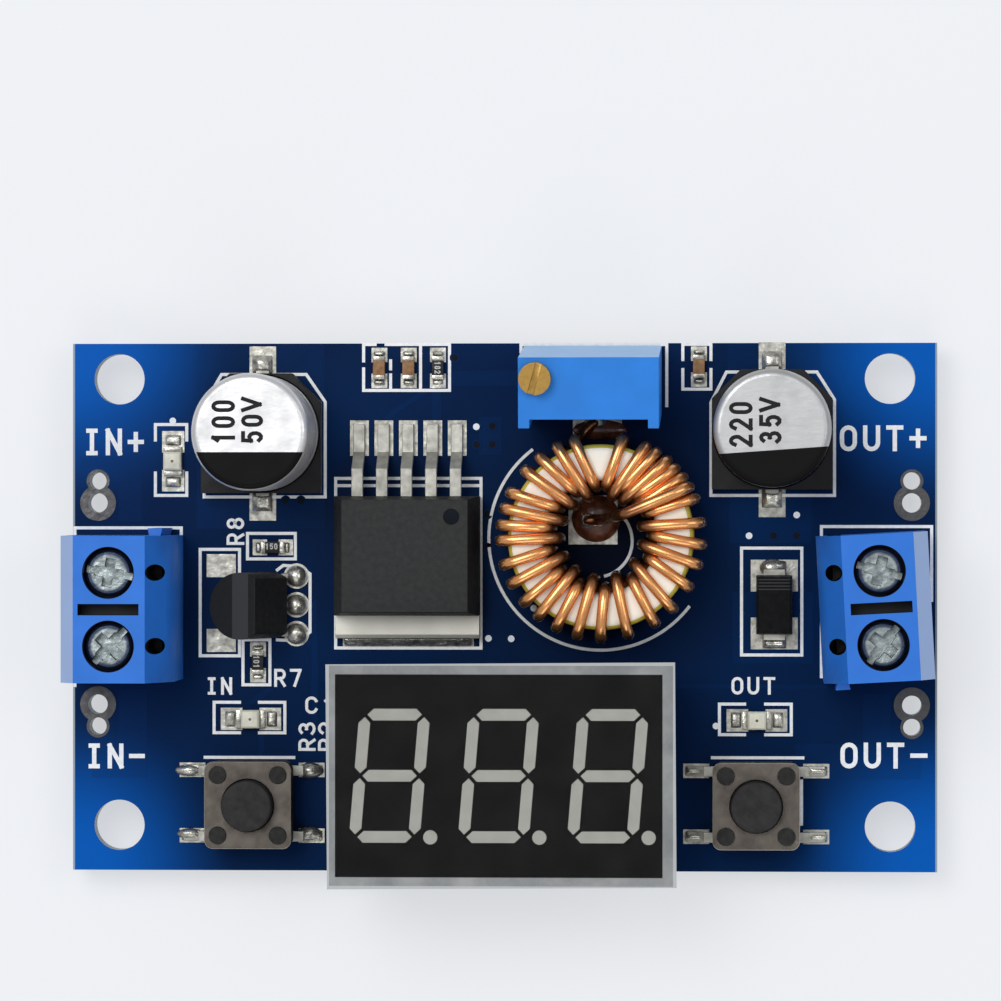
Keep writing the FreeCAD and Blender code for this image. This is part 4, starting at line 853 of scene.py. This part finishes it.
def build_metal_finishes(c):
    wire = Finish("enamelled_wire", c.wire_copper, toned(c.wire_copper, 0.76), (0.2, 0.32), 0.9, mottle=700,
                  relief=1500, bump=0.08, coat=0.35)
    reach = wire.away(*middle_of("coil_core"))
    for light, dark in WIRE_SHADES:
        wire.paint(wire.ramp(reach, light, dark), shade(92, 44, 24), 0.75)
    core = Finish("core_coating", c.core_cream, toned(c.core_cream, 0.95), (0.45, 0.6), mottle=700,
                  relief=2500, bump=0.2, specular=0.3)
    low, high = (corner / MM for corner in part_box("coil_core"))
    rim = core.maths("GREATER_THAN", core.away(*middle_of("coil_core")), (high.x - low.x) / 2 - CORE_RIM)
    core.paint(rim, c.core_yellow)
    cover = Finish("switch_steel", c.steel_brown, toned(c.steel_brown, 0.6), (0.4, 0.58), 0.75, mottle=900,
                   relief=1500, stretch=(12, 1, 1), bump=0.7)
    # Painted highlight on the cover's sloping edges
    up = cover.parts(cover.facing)[2]
    cover.paint(cover.between(up, 0.1, 0.93), shade(205, 200, 190), 0.8)


def build_film_finish():
    """Clear over the display's face, and silvery where it stands off around it: a painted reflection, brightest
    as a painted highlight at its rim.
    """
    film = Finish("clear_film", shade(164, 166, 166), shade(126, 129, 130), (0.16, 0.34), mottle=500,
                  relief=420, bump=0.5, depth=0.12, specular=0.5)
    east, north, _ = film.millimetres()
    insides = []
    for node, margin in (("display_housing", FACE_MARGIN), ("display_film", FILM_RIM)):
        low, high = (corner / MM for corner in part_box(node))
        insides.append(film.maths("MULTIPLY", film.between(east, low.x + margin, high.x - margin),
                                  film.between(north, low.y + margin, high.y - margin)))
    over_face, inner = insides
    # Painted highlight along the film's rim
    film.paint(film.maths("SUBTRACT", 1.0, inner), shade(205, 208, 210), 0.7)
    cleared = film.maths("MULTIPLY", over_face, FILM_ALPHA_LOST)
    film.link(film.maths("SUBTRACT", FILM_ALPHA, cleared), film.shader.inputs["Alpha"])


def build_finishes():
    build_groups()
    c = colours()
    build_board_finishes(c)
    build_terminal_finishes(c)
    build_capacitor_finishes(c)
    build_moulded_finishes(c)
    build_metal_finishes(c)
    build_film_finish()


class MODULE_OT_finishes(bpy.types.Operator):
    """Make every material from the shared node groups"""
    bl_idname = "module.finishes"
    bl_label = "Finishes"

    def execute(self, context):
        build_finishes()
        return {"FINISHED"}


class MODULE_OT_board(bpy.types.Operator):
    """Dress the board, its pads and the copper that shows through its mask"""
    bl_idname = "module.board"
    bl_label = "Board and pads"

    def execute(self, context):
        plain("circuit_board", "solder_mask")
        plain("copper_pads", "tinned_copper")
        low = BOARD_TOP - BOARD_ROOT
        top = BOARD_TOP + sizes().pour_thickness / MM
        plates = []
        for left, upper, right, lower in POURS:
            near, far = spot((left, lower)), spot((right, upper))
            far.y = min(far.y, BOARD_HIGH.y - EDGE_GAP)
            plates.append(block(near.x, far.x, near.y, far.y, low, top + len(plates) * LAYER))
        for track in TRACKS:
            run = [spot(pixel) for pixel in track]
            plates.extend(strips_along([run], TRACK_WIDTH, low, top + len(plates) * LAYER))
        dress(joined(plates, "copper_under_mask"), "solder_mask", "mask_over_copper")
        # White plugs paint the light that comes through some holes, dark plugs paint the shade in the others
        for finish, holes in (("lit_hole", LIT_HOLES), ("shaded_hollow", SHADED_HOLES)):
            rings, plugs = [], []
            for pixel in holes:
                for discs, (radius, rise) in ((rings, HOLE_RING), (plugs, HOLE_PLUG)):
                    discs.append(disc(*spot(pixel), radius, low, BOARD_TOP + rise))
            dress(joined(rings, finish + "s_rings"), "tinned_copper", "mask_over_copper")
            dress(joined(plugs, finish + "s"), "tinned_copper", finish)
        return {"FINISHED"}


# Lumps of solder and flux: middle in the photograph, half length, half width and height in millimetres
SOLDER_LUMPS = {
    "left_switch_leads": [
        ((189.0, 770.5), 0.95, 0.42, 0.5), ((190.0, 834.0), 0.9, 0.38, 0.45),
        ((311.0, 770.5), 0.95, 0.55, 0.75), ((310.0, 834.0), 0.9, 0.5, 0.6)],
    "diode_ends": [((772.5, 567.5), 0.9, 0.62, 0.75), ((772.5, 637.0), 0.6, 0.42, 0.5)],
}
FLUX_LUMPS = {"coil_end": ((597.0, 518.5), 1.7, 1.65, 0.5), "coil_start": ((601.0, 430.0), 1.9, 0.7, 0.4)}


def dome(x, y, half_length, half_width, height, base):
    bpy.ops.mesh.primitive_uv_sphere_add(segments=32, ring_count=20, radius=MM)
    lump = bpy.context.view_layer.objects.active
    lump.scale = (half_length, half_width, height)
    settle(lump)
    edit(lump, lambda: bpy.ops.mesh.bisect(
        plane_co=(0, 0, 0), plane_no=(0, 0, 1), use_fill=True, clear_inner=True))
    lump.location = Vector((x, y, base)) * MM
    smooth(lump, 60)
    return lump


class MODULE_OT_solder(bpy.types.Operator):
    """Melt the solder joints into rounded heaps and add the larger lumps and the flux"""
    bl_idname = "module.solder"
    bl_label = "Solder"

    def execute(self, context):
        heaps = copied("solder_joints")
        modify(heaps, "REMESH", mode="VOXEL", voxel_size=sizes().solder_grain, use_smooth_shade=True)
        modify(heaps, "SMOOTH", factor=0.7, iterations=14)
        smooth(heaps, 70)
        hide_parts("solder_joints")
        dress(heaps, "solder")
        for name, lumps in SOLDER_LUMPS.items():
            domes = [dome(*spot(pixel), *shape, BOARD_TOP + LUMP_LIFT) for pixel, *shape in lumps]
            dress(joined(domes, name + "_solder"), "solder")
        for name, (pixel, *shape) in FLUX_LUMPS.items():
            dress(joined([dome(*spot(pixel), *shape, BOARD_TOP + LUMP_LIFT)], name + "_flux"), "solder", "flux")
        return {"FINISHED"}


class MODULE_OT_print(bpy.types.Operator):
    """Print the outlines and the lettering on the board"""
    bl_idname = "module.print"
    bl_label = "Board print"

    def execute(self, context):
        s = sizes()
        low = BOARD_TOP - PRINT_ROOT
        high = BOARD_TOP + s.print_thickness / MM + PRINT_LIFT
        runs = [[spot(p) for p in corners] for corners in BOARD_LINES.values()]
        for middle, radius, start, end in COIL_CIRCLES:
            centre = spot(middle)
            turns = [math.radians(start + (end - start) * n / CIRCLE_STEPS) for n in range(CIRCLE_STEPS + 1)]
            reach = radius / PIXELS_PER_MM
            runs.append([centre + Vector((math.cos(turn), math.sin(turn))) * reach for turn in turns])
        strips = strips_along(runs, s.print_line / MM, low, high)
        for table, stroke in ((LARGE_WORDS, s.large_stroke / MM), (SMALL_WORDS, s.letter_stroke / MM)):
            for text, box, turn in table:
                near, far = spot((box[0], box[3])), spot((box[2], box[1]))
                wide, tall = far.x - near.x, far.y - near.y
                if turn:
                    wide, tall = tall, wide
                runs = words(text, (near + far) / 2, wide, tall, stroke, turn)
                strips.extend(strips_along(runs, stroke, low, high))
        dress(joined(strips, "board_print"), "solder_mask", "board_print")
        return {"FINISHED"}


class MODULE_OT_terminals(bpy.types.Operator):
    """Dress both screw terminals with their screws, cages and contacts"""
    bl_idname = "module.terminals"
    bl_label = "Screw terminals"

    def execute(self, context):
        for side in ("input", "output"):
            softened(side + "_terminal_housing", "terminal_plastic", sizes().housing_edge)
            plain(side + "_terminal_contacts", "tinned_brass")
            for row in ("back", "front"):
                softened(f"{side}_{row}_clamp_screw", "screw_steel", 0.07 * MM)
                plain(f"{side}_{row}_wire_cage", "cage_steel")
        return {"FINISHED"}


# The round dent in the chip's face, in the photograph, drawn as a flat disc of painted shade
CHIP_DOT = (455.6, 516.5)
CHIP_DOT_RADIUS = 0.56
CHIP_DOT_ROOT = 0.1


class MODULE_OT_chip(bpy.types.Operator):
    """Dress the converter chip, its tab and its five legs"""
    bl_idname = "module.chip"
    bl_label = "Converter chip"

    def execute(self, context):
        softened("chip_body", "chip_epoxy", 0.06 * MM)
        softened("chip_tab", "tinned_copper", 0.05 * MM, "tab_tin")
        softened("chip_leads", "tinned_copper", 0.05 * MM, "lead_tin")
        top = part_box("chip_body")[1].z / MM
        dot = disc(*spot(CHIP_DOT), CHIP_DOT_RADIUS, top - CHIP_DOT_ROOT, top + TOP_LIFT)
        dress(joined([dot], "chip_dot"), "chip_epoxy", "shaded_hollow")
        return {"FINISHED"}


class MODULE_OT_coil(bpy.types.Operator):
    """Round the coil's wire and dress its core"""
    bl_idname = "module.coil"
    bl_label = "Coil"

    def execute(self, context):
        plain("coil_core", "core_coating")
        wire = copied("coil_winding")
        edit(wire, bpy.ops.mesh.tris_convert_to_quads,
             lambda: bpy.ops.transform.shrink_fatten(value=sizes().wire_swell))
        modify(wire, "SUBSURF", levels=1, render_levels=1)
        smooth(wire, 70)
        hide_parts("coil_winding")
        dress(wire, "enamelled_wire")
        return {"FINISHED"}


# Each can's print: text, the middle of its line from the can's middle, its width and its height
CAN_VALUES = {
    "input": [("100", (-1.77, 0.63), 2.89, 1.62), ("50V", (0.19, 0.72), 2.97, 1.5)],
    "output": [("220", (-2.13, 0.2), 2.96, 1.6), ("35V", (-0.14, 0.44), 2.93, 1.52)],
}


class MODULE_OT_capacitors(bpy.types.Operator):
    """Dress both can capacitors and print their values"""
    bl_idname = "module.capacitors"
    bl_label = "Can capacitors"

    def execute(self, context):
        stroke = sizes().value_stroke / MM
        for side, lines in CAN_VALUES.items():
            name = side + "_capacitor"
            plain(name + "_can", "can_aluminium", side + "_can")
            softened(name + "_base", "base_plastic", 0.08 * MM)
            softened(name + "_leads", "tinned_copper", 0.03 * MM, "lead_tin")
            x, y = middle_of(name + "_can")
            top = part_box(name + "_can")[1].z / MM
            runs = []
            for text, (dx, dy), wide, tall in lines:
                runs.extend(words(text, (x + dx, y + dy), wide, tall, stroke, 90))
            strips = strips_along(runs, stroke, top - PRINT_ROOT, top + TOP_LIFT)
            dress(joined(strips, name + "_value"), "can_aluminium", "value_black")
        return {"FINISHED"}


class MODULE_OT_trimmer(bpy.types.Operator):
    """Dress the multi-turn trimmer and what it holds"""
    bl_idname = "module.trimmer"
    bl_label = "Trimmer"

    def execute(self, context):
        softened("trimmer_housing", "trimmer_plastic", 0.08 * MM)
        softened("trimmer_screw", "screw_brass", 0.05 * MM)
        plain("trimmer_wiper_wheel", "wheel_plastic")
        plain("trimmer_element", "ceramic")
        plain("trimmer_base", "sealing_resin")
        plain("trimmer_pins", "tinned_copper", "lead_tin")
        return {"FINISHED"}


class MODULE_OT_display(bpy.types.Operator):
    """Dress the three-digit display and the film left on it"""
    bl_idname = "module.display"
    bl_label = "Display"

    def execute(self, context):
        softened("display_housing", "display_face", 0.06 * MM)
        plain("display_segments", "segment_resin")
        plain("display_back", "display_backing")
        plain("display_pins", "tinned_copper", "lead_tin")
        plain("display_film", "clear_film")
        return {"FINISHED"}


class MODULE_OT_switches(bpy.types.Operator):
    """Dress both push switches"""
    bl_idname = "module.switches"
    bl_label = "Push switches"

    def execute(self, context):
        for side in ("left", "right"):
            softened(side + "_switch_base", "base_plastic", finish="rivet_plastic")
            softened(side + "_switch_cover", "switch_steel", 0.05 * MM)
            softened(side + "_button", "button_plastic", 0.03 * MM)
            plain(side + "_switch_dome", "tinned_copper", "lead_tin")
            softened(side + "_switch_leads", "tinned_copper", 0.03 * MM, "lead_tin")
        return {"FINISHED"}


# Numbers printed on chip resistors: text, middle in the photograph, turn
RESISTOR_NUMBERS = [("150", (272.5, 546.5), 0), ("101", (257.5, 661.5), -90), ("182", (438.9, 367.8), -90)]
NUMBER_WIDTH = 0.82
NUMBER_HEIGHT = 0.42
NUMBER_ROOT = 0.03

# The small die in each lamp: radius, depth and height above it
DIE_RADIUS = 0.1
DIE_ROOT = 0.05
DIE_LIFT = 0.003


class MODULE_OT_small_parts(bpy.types.Operator):
    """Dress the diode, the small regulator, the chip parts, the lamps and the meter chip"""
    bl_idname = "module.small_parts"
    bl_label = "Small parts"

    def execute(self, context):
        softened("diode_body", "chip_epoxy", 0.05 * MM, "diode_epoxy")
        softened("diode_leads", "tinned_copper", 0.03 * MM, "lead_tin")
        softened("small_regulator_body", "chip_epoxy", 0.06 * MM, "regulator_epoxy")
        plain("small_regulator_leads", "tinned_copper", "lead_tin")
        softened("chip_resistors", "resistor_body", 0.03 * MM)
        softened("chip_capacitors", "capacitor_body", 0.05 * MM)
        softened("chip_part_ends", "solder", 0.03 * MM)
        dies = []
        for lamp in ("power_led", "input_led", "output_led"):
            softened(lamp, "led_resin", 0.03 * MM)
            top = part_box(lamp)[1].z / MM
            dies.append(disc(*middle_of(lamp), DIE_RADIUS, top - DIE_ROOT, top + DIE_LIFT, 16))
        dress(joined(dies, "lamp_dies"), "led_resin", "lamp_die")
        plain("controller_body", "chip_epoxy")
        plain("controller_leads", "tinned_copper", "lead_tin")
        stroke = sizes().number_stroke / MM
        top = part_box("chip_resistors")[1].z / MM
        runs = []
        for text, pixel, turn in RESISTOR_NUMBERS:
            runs.extend(words(text, spot(pixel), NUMBER_WIDTH, NUMBER_HEIGHT, stroke, turn))
        strips = strips_along(runs, stroke, top - NUMBER_ROOT, top + TOP_LIFT)
        dress(joined(strips, "resistor_numbers"), "resistor_body", "number_print")
        return {"FINISHED"}


# Soft lamps: place and width in metres, and power in watts
LAMPS = {
    "key_lamp": ((-0.16, 0.18, 0.55), 0.30, 1.5),
    "side_lamp": ((0.30, 0.08, 0.50), 0.22, 0.35),
    "front_lamp": ((0.02, -0.36, 0.42), 0.25, 0.35),
}
WORLD_STRENGTH = 0.5
FLOOR_GAP = 0.0002
FLOOR_GLOW = 0.6

# The camera stands upright over one place and looks at another, in millimetres
CAMERA_OVER = (17.79, 7.32)
CAMERA_AIM = (-0.217, 7.068, BOARD_TOP)
SENSOR_WIDTH = 36


class MODULE_OT_stage(bpy.types.Operator):
    """Set the pale floor, the lamps and the camera"""
    bl_idname = "module.stage"
    bl_label = "Stage"

    def execute(self, context):
        s = sizes()
        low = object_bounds()[0].z
        bpy.ops.mesh.primitive_plane_add(size=s.floor_width, location=(0, 0, low - FLOOR_GAP))
        floor = bpy.context.view_layer.objects.active
        floor.name = "floor"
        paper = bpy.data.materials.new("floor_paper")
        paper.use_nodes = True
        tree = paper.node_tree
        shader = tree.nodes["Principled BSDF"]
        shader.inputs["Base Color"].default_value = (0.82, 0.83, 0.85, 1)
        shader.inputs["Roughness"].default_value = 0.8
        glow = tree.nodes.new("ShaderNodeEmission")
        glow.inputs["Color"].default_value = (0.9, 0.92, 0.95, 1)
        seen = tree.nodes.new("ShaderNodeLightPath")
        direct, mirrored, share = (tree.nodes.new("ShaderNodeMath") for _ in range(3))
        direct.operation = mirrored.operation = "ADD"
        share.operation = "MULTIPLY"
        share.inputs[1].default_value = FLOOR_GLOW
        mixed = tree.nodes.new("ShaderNodeMixShader")
        tree.links.new(seen.outputs["Is Camera Ray"], direct.inputs[0])
        tree.links.new(seen.outputs["Is Transmission Ray"], direct.inputs[1])
        tree.links.new(direct.outputs[0], mirrored.inputs[0])
        tree.links.new(seen.outputs["Is Glossy Ray"], mirrored.inputs[1])
        tree.links.new(mirrored.outputs[0], share.inputs[0])
        tree.links.new(share.outputs[0], mixed.inputs["Fac"])
        tree.links.new(shader.outputs["BSDF"], mixed.inputs[1])
        tree.links.new(glow.outputs["Emission"], mixed.inputs[2])
        tree.links.new(mixed.outputs["Shader"], tree.nodes["Material Output"].inputs["Surface"])
        floor.data.materials.append(paper)
        lamps = []
        for name, (place, width, watts) in LAMPS.items():
            bpy.ops.object.light_add(type="AREA", location=place)
            lamp = bpy.context.view_layer.objects.active
            lamp.name = name
            lamp.data.size = width
            lamp.data.energy = watts
            lamp.rotation_euler = (-Vector(place)).to_track_quat("-Z", "Y").to_euler()
            lamps.append(lamp)
        world = bpy.data.worlds.new("studio")
        world.use_nodes = True
        background = world.node_tree.nodes["Background"]
        background.inputs["Color"].default_value = (0.95, 0.97, 1.0, 1)
        background.inputs["Strength"].default_value = WORLD_STRENGTH
        context.scene.world = world
        aim = Vector(CAMERA_AIM) * MM
        over_x, over_y = CAMERA_OVER
        stand = Vector((over_x * MM, over_y * MM, s.camera_height))
        bpy.ops.object.camera_add(location=stand)
        camera = bpy.context.view_layer.objects.active
        camera.name = "camera"
        back = (stand - aim).normalized()
        right = Vector((0, 1, 0)).cross(back).normalized()
        up = back.cross(right)
        camera.matrix_world = Matrix.Translation(stand) @ Matrix((right, up, back)).transposed().to_4x4()
        camera.data.lens = s.camera_lens
        camera.data.sensor_width = SENSOR_WIDTH
        camera.data.clip_start = 0.01
        camera.data.clip_end = 5
        context.scene.camera = camera
        context.scene.view_settings.view_transform = "Standard"
        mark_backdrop(floor, *lamps, camera)
        return {"FINISHED"}


STEPS = [
    MODULE_OT_finishes, MODULE_OT_board, MODULE_OT_solder, MODULE_OT_print, MODULE_OT_terminals,
    MODULE_OT_chip, MODULE_OT_coil, MODULE_OT_capacitors, MODULE_OT_trimmer, MODULE_OT_display,
    MODULE_OT_switches, MODULE_OT_small_parts, MODULE_OT_stage,
]


class MODULE_PT_panel(bpy.types.Panel):
    """Sizes, colours and steps of the module"""
    bl_label = "Converter module"
    bl_idname = "MODULE_PT_panel"
    bl_space_type = "VIEW_3D"
    bl_region_type = "UI"
    bl_category = "Module"

    def draw(self, context):
        column = self.layout.column()
        for group in (context.scene.module_sizes, context.scene.module_colours):
            for key in group.bl_rna.properties.keys():
                if key not in ("rna_type", "name"):
                    column.prop(group, key)
        for step in STEPS:
            column.operator(step.bl_idname)


CLASSES = [ModuleSizes, ModuleColours, *STEPS, MODULE_PT_panel]


def register():
    for cls in CLASSES:
        bpy.utils.register_class(cls)
    bpy.types.Scene.module_sizes = PointerProperty(type=ModuleSizes)
    bpy.types.Scene.module_colours = PointerProperty(type=ModuleColours)


def unregister():
    del bpy.types.Scene.module_colours
    del bpy.types.Scene.module_sizes
    for cls in reversed(CLASSES):
        bpy.utils.unregister_class(cls)


def main():
    register()
    for step in STEPS:
        group, name = step.bl_idname.split(".")
        getattr(getattr(bpy.ops, group), name)()


if __name__ == "__main__":
    main()
